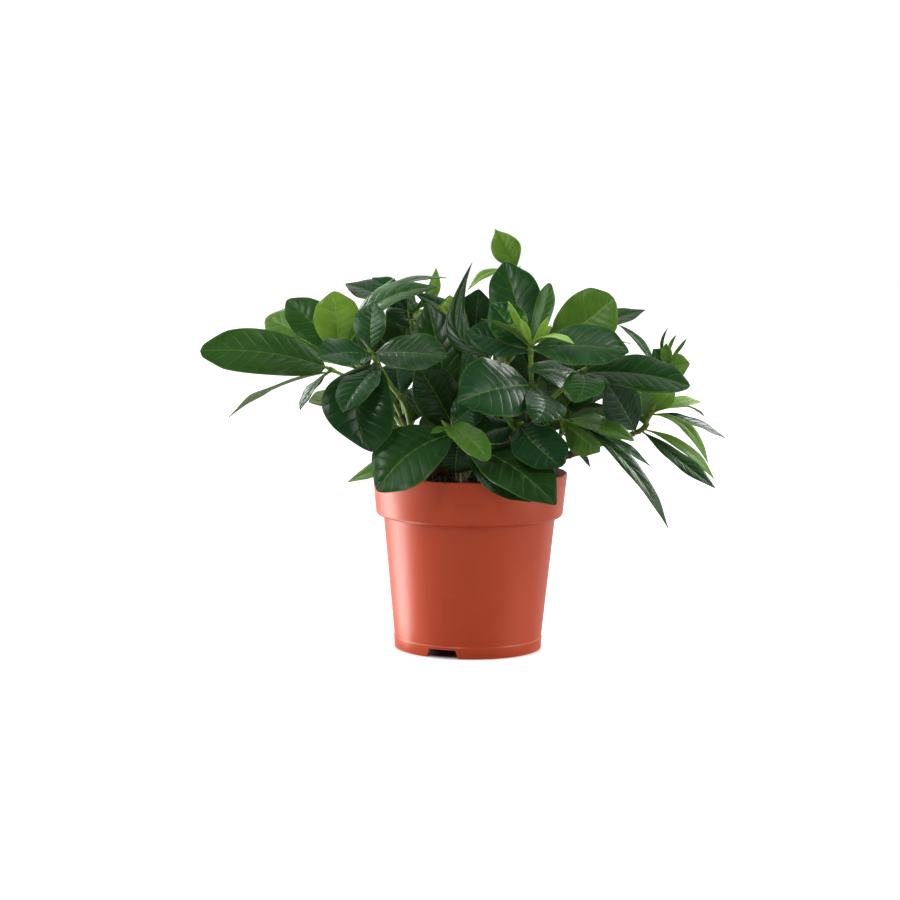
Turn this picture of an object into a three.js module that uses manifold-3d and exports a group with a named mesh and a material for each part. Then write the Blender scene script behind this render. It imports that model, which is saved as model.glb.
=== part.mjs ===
// A potted gardenia: a young bushy plant with glossy leaves in a round plastic nursery pot.
// Millimetres, +Z up. The origin is on the pot's axis, at the surface that the pot stands on.
// The foliage that shows in the picture is placed by points read from it, each with its depth.
import * as THREE from 'three';
import { mergeVertices } from 'three/addons/utils/BufferGeometryUtils.js';
import Module from 'manifold-3d';

const wasm = await Module();
wasm.setup();

// The pot: a 13 cm nursery pot with a lip band, a tapering body and a skirt under its bottom plate.
const pot = {
  height: 118, wall: 1.3, segments: 32,
  lipTopRadius: 65, lipLowRadius: 62.3, lipLow: 90.5,
  bodyTopRadius: 57.3, bodyTop: 86.5, bodyLowRadius: 49.6,
  footRadius: 49, plateTop: 7.5, plate: 1.5, skirtWall: 1.6,
  rimRound: 1.2, rimBevel: 0.5, footStep: 0.6,
};
const notch = { count: 3, turn: -20.5, wideLow: 25.5, wideTop: 18, high: 5.7, deep: 12, spare: 1 };
const drain = { count: 6, radius: 4, circle: 30, sides: 8 };

// The soil: it fills the pot to just under the rim, and its top is rough.
const soil = { top: 108, rough: 1.6, segments: 24, rings: 3, gap: 0.3, sag: 0.3, shoulder: 1.5 };

// Leaf blades are this thick, and pieces that touch keep the small gap.
const bladeThick = 0.7;
const seatGap = 0.35;

// The faces round a stem and the steps along it.
const woodSides = 6;
const woodSteps = 7;
const shootSides = 5;
const shootSteps = 4;

// Where the picture was taken from: eye and aim in millimetres, focal length in pixels of the
// picture, roll in degrees.
const view = { eye: [-13.5, -1600, 312], aim: [-13.5, 0, 132], focal: 2415, roll: 0.7, middle: 450 };
const eye = new THREE.Vector3(...view.eye);
const sight = new THREE.Vector3(...view.aim).sub(eye).normalize();
const sightRight = new THREE.Vector3().crossVectors(sight, new THREE.Vector3(0, 0, 1)).normalize();
const sightUp = new THREE.Vector3().crossVectors(sightRight, sight);
const rollCos = Math.cos(THREE.MathUtils.degToRad(view.roll));
const rollSin = Math.sin(THREE.MathUtils.degToRad(view.roll));

// The point seen at a pixel of the picture, at this depth along Y (minus is toward the viewer).
function seen(px, py, depth) {
  const x = px - view.middle;
  const y = view.middle - py;
  const ray = sight.clone()
    .addScaledVector(sightRight, (x * rollCos - y * rollSin) / view.focal)
    .addScaledVector(sightUp, (x * rollSin + y * rollCos) / view.focal);
  return eye.clone().addScaledVector(ray, (depth - eye.y) / ray.y);
}

// The pixel at which the picture shows a point.
function pixelOf(point) {
  const ray = point.clone().sub(eye);
  const far = ray.dot(sight);
  const right = (view.focal * ray.dot(sightRight)) / far;
  const up = (view.focal * ray.dot(sightUp)) / far;
  return [view.middle + right * rollCos + up * rollSin, view.middle + right * rollSin - up * rollCos];
}

const at = (x, y, z) => new THREE.Vector3(x, y, z);

// The woody stems, from their roots in the soil to where they end in the foliage.
const woods = {
  left: { radius: [3, 2],
    path: [at(-26, -10, 84), at(-27, -12, 112), at(-36, -14, 136), at(-46, -14, 156)] },
  middle: { radius: [3, 2],
    path: [at(-6, 16, 84), at(-7, 16, 112), at(-13, 20, 146), at(-22, 24, 180)] },
  right: { radius: [3.2, 2.1],
    path: [at(22, -8, 84), at(24, -9, 112), at(37, -16, 146), at(44.5, -26, 172)] },
  side: { radius: [3, 2.2],
    path: [at(40, 12, 84), at(43, 12, 112), at(60, 8, 126), at(78, 2, 133)] },
  front: { radius: [2.8, 2],
    path: [at(-3, -24, 84), at(-4, -25, 112), at(-7, -30, 134)] },
  back: { radius: [3, 2],
    path: [at(8, 36, 84), at(9, 38, 112), at(14, 50, 146), at(16, 58, 176)] },
};

// One leaf: how far along its shoot it grows (0 to 1), its tip, its width, where its upper face looks
// (degrees turned from the viewer, degrees raised), its bow off the straight line, and its age from
// 0 (old and dark) to 1 (young and lime). Full is a low number for a blunt leaf; arc bends it sideways.
function leaf(share, tip, wide, face, bow, age, { full = 0.75, arc = 0, fold = 0.16 } = {}) {
  const turn = THREE.MathUtils.degToRad(face[0]);
  const rise = THREE.MathUtils.degToRad(face[1]);
  const toward = at(Math.sin(turn) * Math.cos(rise), -Math.cos(turn) * Math.cos(rise), Math.sin(rise));
  return { share, tip, wide, toward, bow, age, full, arc, fold };
}

// The leafy shoots. Those in the picture list their leaves; those behind grow theirs by a rule.
const shoots = [
  { name: 'left_far', wood: 'left', share: 0.99, radius: [1.6, 1.1],
    path: [seen(388, 395, -16), seen(356, 381, -20), seen(330, 369, -30)],
    leaves: [
      leaf(1, seen(200, 351, -66), 29.5, [0, 12], 3, 0.3, { full: 0.36, arc: 4.5 }),
      leaf(0.93, seen(229, 417, 14), 24, [0, 84], 5.5, 0.15, { full: 1 }),
      leaf(0.96, seen(300, 410, -52), 15, [-60, 30], 3, 0.1, { arc: -1 }),
      leaf(0.2, seen(309, 402, -2), 20, [170, 50], -1, 0.45, { full: 0.5 }),
    ] },
  { name: 'left_up', wood: 'left', share: 0.84, radius: [1.7, 1.1],
    path: [seen(396, 388, 6), seen(360, 367, 6), seen(339, 352, 6)],
    leaves: [
      leaf(1, seen(334, 291, -4), 31, [8, 10], 3, 0.95, { full: 0.48 }),
      leaf(0.96, seen(287, 300, 14), 29, [24, 12], 3, 0.3, { full: 0.5 }),
      leaf(0.9, seen(266, 318, 36), 33, [10, 20], 3, 0.6, { full: 0.48 }),
      leaf(0.94, seen(438, 287, -2), 24, [-48, 42], 16, 0.25),
      leaf(0.9, seen(447, 278, 14), 18, [-60, 50], 18.5, 0.2),
      leaf(0.92, seen(395, 278, 16), 10, [-60, 30], 6, 0.6),
      leaf(0.05, seen(380, 412, 16), 20, [0, 24], 2, 0.05),
    ] },
  { name: 'left_front', wood: 'left', share: 0.74, radius: [2, 1.3],
    path: [seen(405, 405, -32), seen(390, 384, -42), seen(372, 354, -50)],
    leaves: [
      leaf(0.98, seen(318, 357, -84), 25, [-10, 34], 3, 0.18, { full: 0.55 }),
      leaf(1, seen(447, 357, -74), 29, [0, 38], 3, 0.12, { full: 0.5 }),
      leaf(1, seen(374, 301, -48), 25, [-30, 10], 3, 0.2),
      leaf(0.8, seen(343, 412, -92), 25, [-20, 24], 4, 0.12, { full: 0.6 }),
      leaf(0.88, seen(371, 452, -76), 46, [6, 24], 6, 0.08, { full: 0.5, arc: 11, fold: 0.34 }),
      leaf(0.15, seen(396, 363, -12), 31, [-10, 20], 3, 0.03),
    ] },
  { name: 'centre_left', wood: 'middle', share: 0.5, radius: [1.9, 1.3],
    path: [seen(452, 440, -10), seen(455, 428, -26), seen(452, 408, -36)],
    leaves: [
      leaf(0.45, seen(417, 364, -62), 31, [0, 22], 3, 0.14, { full: 0.52 }),
      leaf(0.25, seen(391, 447, -62), 22, [-20, 50], 4, 0.08),
      leaf(0.75, seen(486, 406, -52), 10, [40, 60], 2, 0.4),
      leaf(0.95, seen(427, 302, -16), 31, [0, 20], 3, 0.12),
      leaf(0.95, seen(470, 352, -4), 26, [20, 40], 3, 0.08),
    ] },
  { name: 'front_low', wood: 'front', share: 0.9, radius: [1.8, 1.3],
    path: [seen(462, 446, -46), seen(457, 436, -54), seen(447, 426, -61)],
    leaves: [
      leaf(0.6, seen(377, 491, -92), 42, [-12, 26], 6, 0.32, { full: 0.54, arc: 5 }),
      leaf(1, seen(488, 461, -94), 19, [10, 36], 6, 0.55, { full: 0.32 }),
      leaf(0.9, seen(431, 433, -66), 6, [0, 60], 1, 0.6),
      leaf(0.15, seen(556, 505, -92), 42, [20, 40], 8, 0.2, { full: 0.65 }),
      leaf(0.1, seen(531, 502, -98), 26, [-10, 30], 4, 0.08),
      leaf(0.2, seen(348, 482, -22), 17, [-20, 48], 3, 0.6),
      leaf(0.35, seen(455, 473, -50), 27, [-6, 24], 3, 0.03, { full: 0.5 }),
      leaf(0.85, seen(480, 402, -30), 22, [0, 30], 3, 0.05),
    ] },
  { name: 'front_right', wood: 'right', share: 0.55, radius: [1.8, 1.3],
    path: [seen(508, 436, -30), seen(514, 428, -46), seen(520, 424, -56)],
    leaves: [
      leaf(0.95, seen(562, 467, -80), 34, [10, 34], 4, 0.03, { full: 0.42, arc: 4.5 }),
      leaf(0.45, seen(502, 416, -66), 13, [0, 30], 2, 0.55),
      leaf(0.7, seen(470, 440, -76), 26, [-10, 40], 3, 0.05),
    ] },
  { name: 'top_right', wood: 'right', share: 0.99, radius: [2, 1.4],
    path: [seen(533, 388, -36), seen(531, 366, -46), seen(531, 346, -54)],
    leaves: [
      leaf(0.05, seen(458, 402, -92), 45, [0, 26], 7, 0.25, { full: 0.6 }),
      leaf(0.05, seen(533, 423, -78), 28, [18, 24], 4, 0.14, { arc: -7 }),
      leaf(0.98, seen(505, 262, -22), 34, [8, 6], -3, 0.2, { full: 0.55 }),
      leaf(0.95, seen(629, 352, -86), 32, [8, 32], 5, 0.24, { full: 0.6 }),
      leaf(0.97, seen(481, 319, -82), 15, [-40, 76], 3, 0.35),
      leaf(0.88, seen(472, 263, -14), 16, [-20, 24], -3, 0.14, { arc: -33 }),
      leaf(0.93, seen(550, 283, -26), 13, [20, 8], 2, 0.4, { full: 0.4 }),
      leaf(0.8, seen(465, 332, -54), 27, [0, 40], 3, 0.1),
      leaf(0.4, seen(577, 388, -36), 26, [0, 40], 3, 0.04),
      leaf(0.98, seen(508, 301, -60), 5, [-30, 20], 1, 0.95),
      leaf(0.99, seen(521, 319, -62), 6, [0, 10], 1, 1),
      leaf(0.99, seen(548, 317, -58), 5, [30, 10], 1, 1),
      leaf(0.97, seen(552, 325, -50), 5, [30, 40], 1, 0.95),
      leaf(0.99, seen(574, 344, -98), 8, [10, 60], 6, 0.95),
      leaf(0.86, seen(490, 303, -34), 25, [-10, 30], 3, 0.12),
    ] },
  { name: 'top_back', wood: 'middle', share: 0.98, radius: [1.9, 1.2],
    path: [seen(448, 380, 26), seen(474, 344, 24), seen(500, 308, 20), seen(516, 275, 16)],
    leaves: [
      leaf(1, seen(495, 229, 12), 20, [-14, 0], 3, 0.8, { arc: 2.5, full: 1.05, fold: 0.35 }),
      leaf(0.97, seen(468, 290, 2), 9, [-20, 60], 9, 0.8),
      leaf(0.35, seen(479, 289, 12), 25, [-10, 20], 3, 0.1, { full: 0.6 }),
      leaf(0.42, seen(414, 293, 0), 15, [-10, 60], 3, 0.12),
      leaf(0.1, seen(450, 295, 12), 26, [-10, 20], 3, 0.03, { full: 0.6 }),
    ] },
  { name: 'right_up', wood: 'right', share: 0.8, radius: [1.9, 1.2],
    path: [seen(530, 400, 6), seen(546, 358, 16), seen(556, 332, 18)],
    leaves: [
      leaf(0.8, seen(614, 298, 14), 38.5, [0, 14], 3, 0.55, { full: 0.38, arc: 2.5 }),
      leaf(0.95, seen(645, 310, 54), 18, [20, 60], 0, 0.15),
      leaf(0.85, seen(631, 344, 60), 12, [0, 80], 3, 0.1),
      leaf(0.2, seen(521, 349, -2), 28, [-10, 20], 3, 0.03),
      leaf(0.55, seen(560, 385, 0), 24, [10, 20], 3, 0.03),
      leaf(0.4, seen(546, 400, -4), 20, [10, 24], 3, 0.03),
    ] },
  { name: 'right_front', wood: 'right', share: 0.9, radius: [1.8, 1.2],
    path: [seen(552, 398, -40), seen(572, 380, -54), seen(581, 372, -60)],
    leaves: [
      leaf(1, seen(575, 403, -84), 26, [-6, 26], 3, 0.28, { full: 0.52, arc: -4 }),
      leaf(0.98, seen(597, 397, -84), 15, [20, 36], 2, 0.32),
      leaf(0.9, seen(610, 384, -70), 9, [10, 80], 2, 0.15),
      leaf(0.92, seen(690, 386, -58), 30, [4, 46], 4, 0.14, { full: 0.45, arc: -1.5 }),
      leaf(0.8, seen(666, 379, -36), 22, [0, 44], 4, 0.16),
      leaf(0.92, seen(528, 372, -84), 18, [0, 64], 3, 0.08),
    ] },
  { name: 'right_tuft', wood: 'side', share: 0.88, radius: [1.7, 1],
    path: [seen(608, 418, 20), seen(646, 396, 24), seen(667, 364, 24)],
    leaves: [
      leaf(1, seen(668, 328, 22), 2.6, [-40, 20], 1, 0.4, { arc: -4 }),
      leaf(1, seen(677, 334, 24), 2.6, [0, 20], 1, 0.55, { arc: -2 }),
      leaf(1, seen(687, 338, 26), 2.6, [30, 30], 1, 0.5),
      leaf(0.97, seen(653, 349, 14), 12, [-10, 20], 1, 0.25),
      leaf(0.97, seen(666, 343, 12), 8, [0, 10], 1, 0.75),
      leaf(0.9, seen(690, 364, 12), 17, [20, 20], 3, 0.75, { full: 0.55 }),
      leaf(0.75, seen(619, 325, 26), 7, [20, 50], 3, 0.3, { arc: 4.5 }),
    ] },
  { name: 'right_low', wood: 'side', share: 0.99, radius: [1.9, 1.1],
    path: [seen(612, 440, -2), seen(641, 430, -10), seen(651, 413, -14)],
    leaves: [
      leaf(0.98, seen(725, 438, 14), 14, [0, 64], 3.5, 0.08),
      leaf(0.96, seen(708, 463, -40), 9, [20, 54], 11.5, 0.45),
      leaf(1, seen(701, 402, 8), 12, [0, 60], 4, 0.85),
      leaf(0.97, seen(704, 416, 30), 11, [0, 70], 7, 0.12),
      leaf(1, seen(675, 389, -14), 13, [10, 30], 2, 0.85),
      leaf(0.5, seen(715, 488, -46), 14, [24, 44], 0, 0.14),
      leaf(0.55, seen(714, 479, -14), 10, [20, 50], 7, 0.7),
      leaf(0.85, seen(621, 383, -30), 11, [30, 50], -5, 0.2),
      leaf(0.4, seen(606, 380, -44), 27, [-8, 20], 3, 0.02),
      leaf(0.6, seen(640, 384, 12), 22, [-10, 20], 3, 0.5),
      leaf(0.3, seen(571, 424, -26), 18, [0, 40], 3, 0.5),
    ] },
  { name: 'right_hang', wood: 'side', share: 0.45, radius: [1.8, 1.2],
    path: [seen(560, 436, -22), seen(562, 424, -36), seen(560, 415, -42)],
    leaves: [
      leaf(0.95, seen(668, 528, -78), 15, [40, 52], 12, 0.1, { full: 0.9 }),
      leaf(0.7, seen(634, 441, -44), 18, [10, 66], 4, 0.25, { full: 0.5 }),
      leaf(0.4, seen(650, 466, 0), 16, [10, 74], 5, 0.2),
      leaf(0.1, seen(590, 467, -30), 7, [40, 40], 2, 0.1),
      leaf(0.6, seen(600, 452, -10), 22, [-30, 20], 3, 0.35),
      leaf(0.8, seen(535, 440, -10), 26, [-20, 30], 3, 0.05),
    ] },
  { name: 'top_left', wood: 'middle', share: 0.99, radius: [1.9, 1.2],
    path: [seen(424, 362, 26), seen(414, 334, 28), seen(410, 312, 28)],
    leaves: [
      leaf(1, seen(345, 284, 20), 26, [0, 64], 3, 0.12),
      leaf(0.96, seen(372, 278, 50), 20, [0, 50], 3, 0.12),
      leaf(1, seen(436, 268, 34), 9, [10, 10], 2, 0.8, { arc: 6 }),
      leaf(0.8, seen(407, 321, 4), 10, [0, 50], 1, 0.1),
      leaf(0.55, seen(396, 300, 8), 24, [0, 30], 2, 0.25),
      leaf(0.85, seen(429, 318, 14), 12, [0, 10], 1, 0.85),
    ] },
  { name: 'inner_middle', wood: 'middle', share: 0.8, radius: [1.9, 1.2],
    path: [at(6, 20, 172), at(20, 24, 184), at(30, 25, 196)],
    rule: { pairs: 4, length: [44, 60], wide: [24, 31], turn: 15, young: 0 } },
  { name: 'inner_right', wood: 'right', share: 0.4, radius: [1.9, 1.2],
    path: [at(44, 0, 140), at(56, 8, 152), at(66, 12, 164)],
    rule: { pairs: 4, length: [42, 56], wide: [23, 30], turn: 50, young: 0 } },
  { name: 'inner_left', wood: 'left', share: 0.4, radius: [1.8, 1.2],
    path: [at(-30, 0, 134), at(-26, 4, 150), at(-24, 2, 166)],
    rule: { pairs: 4, length: [40, 54], wide: [22, 29], turn: 30, young: 0 } },
  { name: 'inner_low', wood: 'front', share: 0.55, radius: [1.8, 1.2],
    path: [at(4, -20, 130), at(10, -14, 140), at(14, -14, 152)],
    rule: { pairs: 4, length: [38, 52], wide: [22, 28], turn: 60, young: 0 } },
  { name: 'back_top', wood: 'back', share: 0.98, radius: [2, 1.2],
    path: [at(17, 66, 196), at(14, 74, 212)],
    rule: { pairs: 5, length: [52, 68], wide: [26, 33], turn: 20, young: 0.6 } },
  { name: 'back_left', wood: 'middle', share: 0.62, radius: [2, 1.2],
    path: [at(-26, 46, 168), at(-46, 64, 186), at(-58, 72, 196)],
    rule: { pairs: 5, length: [50, 64], wide: [25, 32], turn: 70, young: 0.6 } },
  { name: 'back_far_left', wood: 'left', share: 0.5, radius: [1.9, 1.1],
    path: [at(-54, 16, 158), at(-78, 38, 184), at(-88, 46, 198)],
    rule: { pairs: 6, length: [46, 60], wide: [24, 30], turn: 40, young: 0.7 } },
  { name: 'back_right', wood: 'back', share: 0.7, radius: [2, 1.2],
    path: [at(34, 60, 172), at(58, 72, 186), at(74, 76, 194)],
    rule: { pairs: 6, length: [50, 64], wide: [25, 32], turn: 10, young: 0.6 } },
  { name: 'back_far_right', wood: 'side', share: 0.8, radius: [1.9, 1.1],
    path: [at(88, 22, 144), at(104, 40, 160), at(112, 50, 172)],
    rule: { pairs: 5, length: [46, 58], wide: [20, 27], turn: 60, young: 0.7 } },
  { name: 'back_low', wood: 'back', share: 0.45, radius: [1.9, 1.2],
    path: [at(10, 62, 138), at(8, 78, 146), at(6, 88, 152)],
    rule: { pairs: 5, length: [46, 60], wide: [26, 33], turn: 30, young: 0.5 } },
  { name: 'back_low_left', wood: 'left', share: 0.3, radius: [1.8, 1.1],
    path: [at(-38, 12, 130), at(-48, 36, 140), at(-54, 50, 148)],
    rule: { pairs: 5, length: [42, 56], wide: [24, 30], turn: 80, young: 0.5 } },
  { name: 'back_low_right', wood: 'side', share: 0.35, radius: [1.8, 1.1],
    path: [at(54, 30, 134), at(56, 50, 142), at(58, 62, 148)],
    rule: { pairs: 5, length: [42, 56], wide: [22, 29], turn: 20, young: 0.5 } },
];

// The outline of the whole crown in the picture: leaves placed by rule stay inside it.
const crown = [
  [206, 352], [262, 338], [268, 320], [288, 312], [292, 302], [325, 296], [345, 297], [358, 312],
  [373, 300], [350, 287], [395, 280], [445, 280], [440, 292], [452, 302], [464, 296], [489, 298],
  [492, 268], [520, 266], [538, 286], [551, 290], [550, 316], [562, 306], [578, 294], [612, 296],
  [612, 318], [604, 328], [628, 354], [652, 360], [662, 350], [688, 362], [684, 389], [652, 392],
  [648, 424], [630, 430], [600, 448], [576, 436], [558, 434], [556, 476], [378, 476], [376, 462],
  [390, 446], [384, 442], [371, 450], [342, 442], [326, 420], [332, 400], [342, 386], [356, 376],
  [350, 366], [318, 362], [270, 374],
];
const crownBox = { side: 172, back: 99, low: 104 };

// A smooth curve through points, and its point and direction at a share of its way.
const curveOf = (path) => new THREE.CatmullRomCurve3(path, false, 'catmullrom', 0.5);

const nearby = 0.02;
function directionAt(curve, share) {
  const before = curve.getPoint(Math.max(share - nearby, 0));
  return curve.getPoint(Math.min(share + nearby, 1)).sub(before).normalize();
}

for (const wood of Object.values(woods)) wood.curve = curveOf(wood.path);
for (const shoot of shoots) {
  const start = woods[shoot.wood].curve.getPoint(shoot.share);
  shoot.curve = curveOf([start, ...shoot.path]);
  shoot.firstOwn = 1 / shoot.path.length;
}

// Where a leaf grows: 0 is the first point of the shoot past the wood, 1 is its tip.
const alongShoot = (shoot, share) => shoot.firstOwn + share * (1 - shoot.firstOwn);

// How wide a leaf is at t from its foot (0) to its tip (1), as a share of its full width: a short
// stalk, widest a little past the middle, then drawn in to a drip tip.
const shape = { stalk: 0.05, stalkWide: 0.06, lean: 1.2, drawnFrom: 0.8, drawnBy: 0.3, least: 0.03 };
function outline(t, full) {
  if (t <= shape.stalk) return shape.stalkWide;
  const s = (t - shape.stalk) / (1 - shape.stalk);
  const body = s < 1 ? Math.sin(Math.PI * s ** shape.lean) ** full : 0;
  const drawn = THREE.MathUtils.smoothstep(s, shape.drawnFrom, 1);
  return Math.max(shape.least, body * (1 - shape.drawnBy * drawn));
}

// The middle surface of a blade: t runs from foot to tip, u from edge (-1) to edge (1). Its halves
// rise from the midrib as a shallow channel whose sides level out toward the edges.
const channel = 1.6;
function bladeOf(foot, tip, row) {
  const along = tip.clone().sub(foot);
  const length = along.length();
  along.normalize();
  const normal = row.toward.clone().addScaledVector(along, -row.toward.dot(along)).normalize();
  const across = new THREE.Vector3().crossVectors(along, normal);
  function spot(t, u) {
    const half = (row.wide / 2) * outline(t, row.full);
    const swing = 4 * t * (1 - t);
    const rise = row.bow * swing + half * row.fold * (channel * Math.abs(u) - u * u);
    return foot.clone()
      .addScaledVector(along, length * t)
      .addScaledVector(normal, rise)
      .addScaledVector(across, u * half + row.arc * swing);
  }
  return { spot, length, normal, wide: row.wide };
}

// Random draws in a fixed order.
let seed = 7;
function draw(low, high) {
  seed = (seed * 1664525 + 1013904223) % 4294967296;
  return low + ((high - low) * seed) / 4294967296;
}

// Leaves in opposite pairs, each pair turned a quarter from the last, smaller and steeper at the tip.
const pairRule = { first: 0.15, last: 0.98, spreadLow: 78, spreadTop: 42, jitter: 8, jitterTurn: 14,
  shrink: 0.3, bow: [-4, 1], arc: [-2, 2], oldest: 0.04, ages: [0, 0.12], fold: 0.16, full: 0.7 };
function ruleLeaves(shoot) {
  const { pairs, length, wide, turn, young } = shoot.rule;
  const rows = [];
  for (let k = 0; k < pairs; k++) {
    const up = k / (pairs - 1);
    const share = pairRule.first + (pairRule.last - pairRule.first) * up;
    const stem = directionAt(shoot.curve, alongShoot(shoot, share));
    const level = new THREE.Vector3().crossVectors(stem, at(0, 0, 1)).normalize();
    const upright = new THREE.Vector3().crossVectors(level, stem);
    for (const half of [0, 180]) {
      const jitterTurn = draw(-pairRule.jitterTurn, pairRule.jitterTurn);
      const round = THREE.MathUtils.degToRad(turn + 90 * k + half + jitterTurn);
      const out = level.clone().multiplyScalar(Math.cos(round)).addScaledVector(upright, Math.sin(round));
      const open = pairRule.spreadLow + (pairRule.spreadTop - pairRule.spreadLow) * up;
      const angle = THREE.MathUtils.degToRad(open + draw(-pairRule.jitter, pairRule.jitter));
      const size = 1 - pairRule.shrink * up * up;
      rows.push({
        share, stem, out, angle,
        length: draw(...length) * size,
        wide: draw(...wide) * size,
        bow: draw(...pairRule.bow),
        age: pairRule.oldest + young * up ** 3 + draw(...pairRule.ages),
        arc: draw(...pairRule.arc),
        fold: pairRule.fold, full: pairRule.full,
      });
    }
  }
  return rows;
}

// The other places that a leaf may take, the wanted one first: a leaf of the picture swings in
// depth along its own line of sight, and a leaf placed by rule turns, pitches or is shorter.
const depthTries = [0, 5, -5, 10, -10, 15, -15, 20, -20, 26, -26, 32, -32, 40, -40];
const sizeTries = [1, 0.85, 0.7];
const pitchTries = [0, 14, -14, 28];
const turnTries = [0, 16, -16, 32, -32];

function* placesFor(row, foot) {
  if (row.tip) {
    const line = row.tip.clone().sub(eye);
    for (const depth of depthTries) {
      yield { tip: row.tip.clone().addScaledVector(line, depth / line.y), row };
    }
    return;
  }
  for (const size of sizeTries) {
    for (const pitch of pitchTries) {
      for (const turn of turnTries) {
        const side = new THREE.Vector3().crossVectors(row.stem, row.out);
        const round = THREE.MathUtils.degToRad(turn);
        const angle = row.angle - THREE.MathUtils.degToRad(pitch);
        const [sin, cos] = [Math.sin(angle), Math.cos(angle)];
        const out = row.out.clone().multiplyScalar(Math.cos(round)).addScaledVector(side, Math.sin(round));
        const along = row.stem.clone().multiplyScalar(cos).addScaledVector(out, sin);
        const toward = row.stem.clone().multiplyScalar(sin).addScaledVector(out, -cos);
        const tip = foot.clone().addScaledVector(along, row.length * size);
        yield { tip, row: { ...row, toward, wide: row.wide * (1 + size) / 2 } };
      }
    }
  }
}

// Points spread over a blade from start to its tip, close enough to find what it would cross.
const spread = { along: 4.5, across: 5 };
function pointsOn(blade, start) {
  const steps = Math.max(3, Math.ceil(blade.length / spread.along));
  const columns = Math.max(2, Math.ceil(blade.wide / spread.across));
  const points = [];
  for (let i = 0; i <= steps; i++) {
    for (let j = 0; j <= columns; j++) {
      points.push(blade.spot(start + ((1 - start) * i) / steps, -1 + (2 * j) / columns));
    }
  }
  return points;
}

function insideCrown(point) {
  const [px, py] = pixelOf(point);
  let hit = false;
  crown.forEach(([x1, y1], i) => {
    const [x2, y2] = crown[(i + 1) % crown.length];
    if ((y1 > py) !== (y2 > py) && px < ((x2 - x1) * (py - y1)) / (y2 - y1) + x1) hit = !hit;
  });
  const low = point.z < crownBox.low;
  return hit && !low && Math.abs(point.x) <= crownBox.side && point.y <= crownBox.back;
}

// The room kept free over the soil and round the pot's rim.
const room = { soilTop: soil.top + 4.5, rimTop: pot.height + 3.5, in: 7, soilIn: 2, out: 3.8 };
function clearOfPot(point) {
  const past = Math.hypot(point.x, point.y) - pot.lipTopRadius;
  if (point.z < room.soilTop && past < -room.soilIn) return false;
  return !(point.z < room.rimTop && past > -room.in && past < room.out);
}

// The distances that blades keep: from another shoot's blade, from their own shoot's, from stems.
const keep = { other: 3.6, own: 2.2, stem: 2.4, wood: 2 };

// A blade is tested past its foot. Against its own shoot the first quarter of its points is left
// out, and against the woody stems the first sixth.
const tested = { from: 0.12, ownPart: 4, woodPart: 6, stemSteps: 30 };
const beyond = (points, part) => points.slice(Math.floor(points.length / part));

function nearStem(points, stem, distance) {
  return stem.some(({ point, radius }) => points.some((p) => p.distanceTo(point) < radius + distance));
}

function stemPoints(curve, radius) {
  const points = [];
  for (let i = 0; i <= tested.stemSteps; i++) {
    const share = i / tested.stemSteps;
    points.push({ point: curve.getPoint(share), radius: THREE.MathUtils.lerp(...radius, share) });
  }
  return points;
}

// Whether a blade's points come too near to a blade that stands already.
function crossing(mine, other, sameShoot) {
  if (other.centre.distanceTo(mine.centre) > mine.radius + other.radius + keep.other) return false;
  const [first, second] = sameShoot ? [mine.outer, other.outer] : [mine.points, other.points];
  const distance = sameShoot ? keep.own : keep.other;
  return first.some((p) => second.some((q) => p.distanceTo(q) < distance));
}

// Each leaf takes the first place that is clear of all that stands already, and a leaf placed by
// rule that finds none is left out.
function settle() {
  const woodStems = Object.values(woods).map((wood) => stemPoints(wood.curve, wood.radius));
  const shootStems = shoots.map((shoot) => stemPoints(shoot.curve, shoot.radius));
  const placed = [];
  for (const shoot of shoots) {
    for (const row of shoot.leaves ?? ruleLeaves(shoot)) {
      const foot = shoot.curve.getPoint(alongShoot(shoot, row.share));
      for (const place of placesFor(row, foot)) {
        const blade = bladeOf(foot, place.tip, place.row);
        const points = pointsOn(blade, tested.from);
        const inCrown = row.tip || pointsOn(blade, 0).every(insideCrown);
        if (!inCrown || !points.every(clearOfPot)) continue;
        const centre = points.reduce((sum, p) => sum.add(p), at(0, 0, 0)).divideScalar(points.length);
        const radius = Math.max(...points.map((p) => p.distanceTo(centre)));
        const mine = { shoot, blade, points, outer: beyond(points, tested.ownPart), centre, radius };
        if (placed.some((other) => crossing(mine, other, other.shoot === shoot))) continue;
        const woodSide = beyond(points, tested.woodPart);
        if (woodStems.some((stem) => nearStem(woodSide, stem, keep.wood))) continue;
        const free = shoots.every((other, i) =>
          !nearStem(other === shoot ? mine.outer : points, shootStems[i], keep.stem));
        if (!free) continue;
        placed.push(mine);
        break;
      }
    }
  }
  return placed;
}

// A closed geometry as a solid, and back to a mesh.
function toSolid(geometry) {
  const bare = geometry.clone();
  for (const name of Object.keys(bare.attributes)) {
    if (name !== 'position') bare.deleteAttribute(name);
  }
  const merged = mergeVertices(bare, 1e-4);
  return new wasm.Manifold(new wasm.Mesh({
    numProp: 3,
    vertProperties: new Float32Array(merged.attributes.position.array),
    triVerts: new Uint32Array(merged.index.array),
  }));
}

function toMesh(solid, name, material) {
  const { numProp, vertProperties, triVerts } = solid.getMesh();
  const geometry = new THREE.BufferGeometry();
  geometry.setAttribute('position', new THREE.BufferAttribute(new Float32Array(vertProperties), numProp));
  geometry.setIndex(new THREE.BufferAttribute(new Uint32Array(triVerts), 1));
  geometry.computeVertexNormals();
  const mesh = new THREE.Mesh(geometry, material);
  mesh.name = name;
  return mesh;
}

// The largest body of a solid: a scrap that a cut leaves behind is dropped.
function largest(solid) {
  return solid.decompose().sort((a, b) => b.volume() - a.volume())[0];
}

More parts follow.
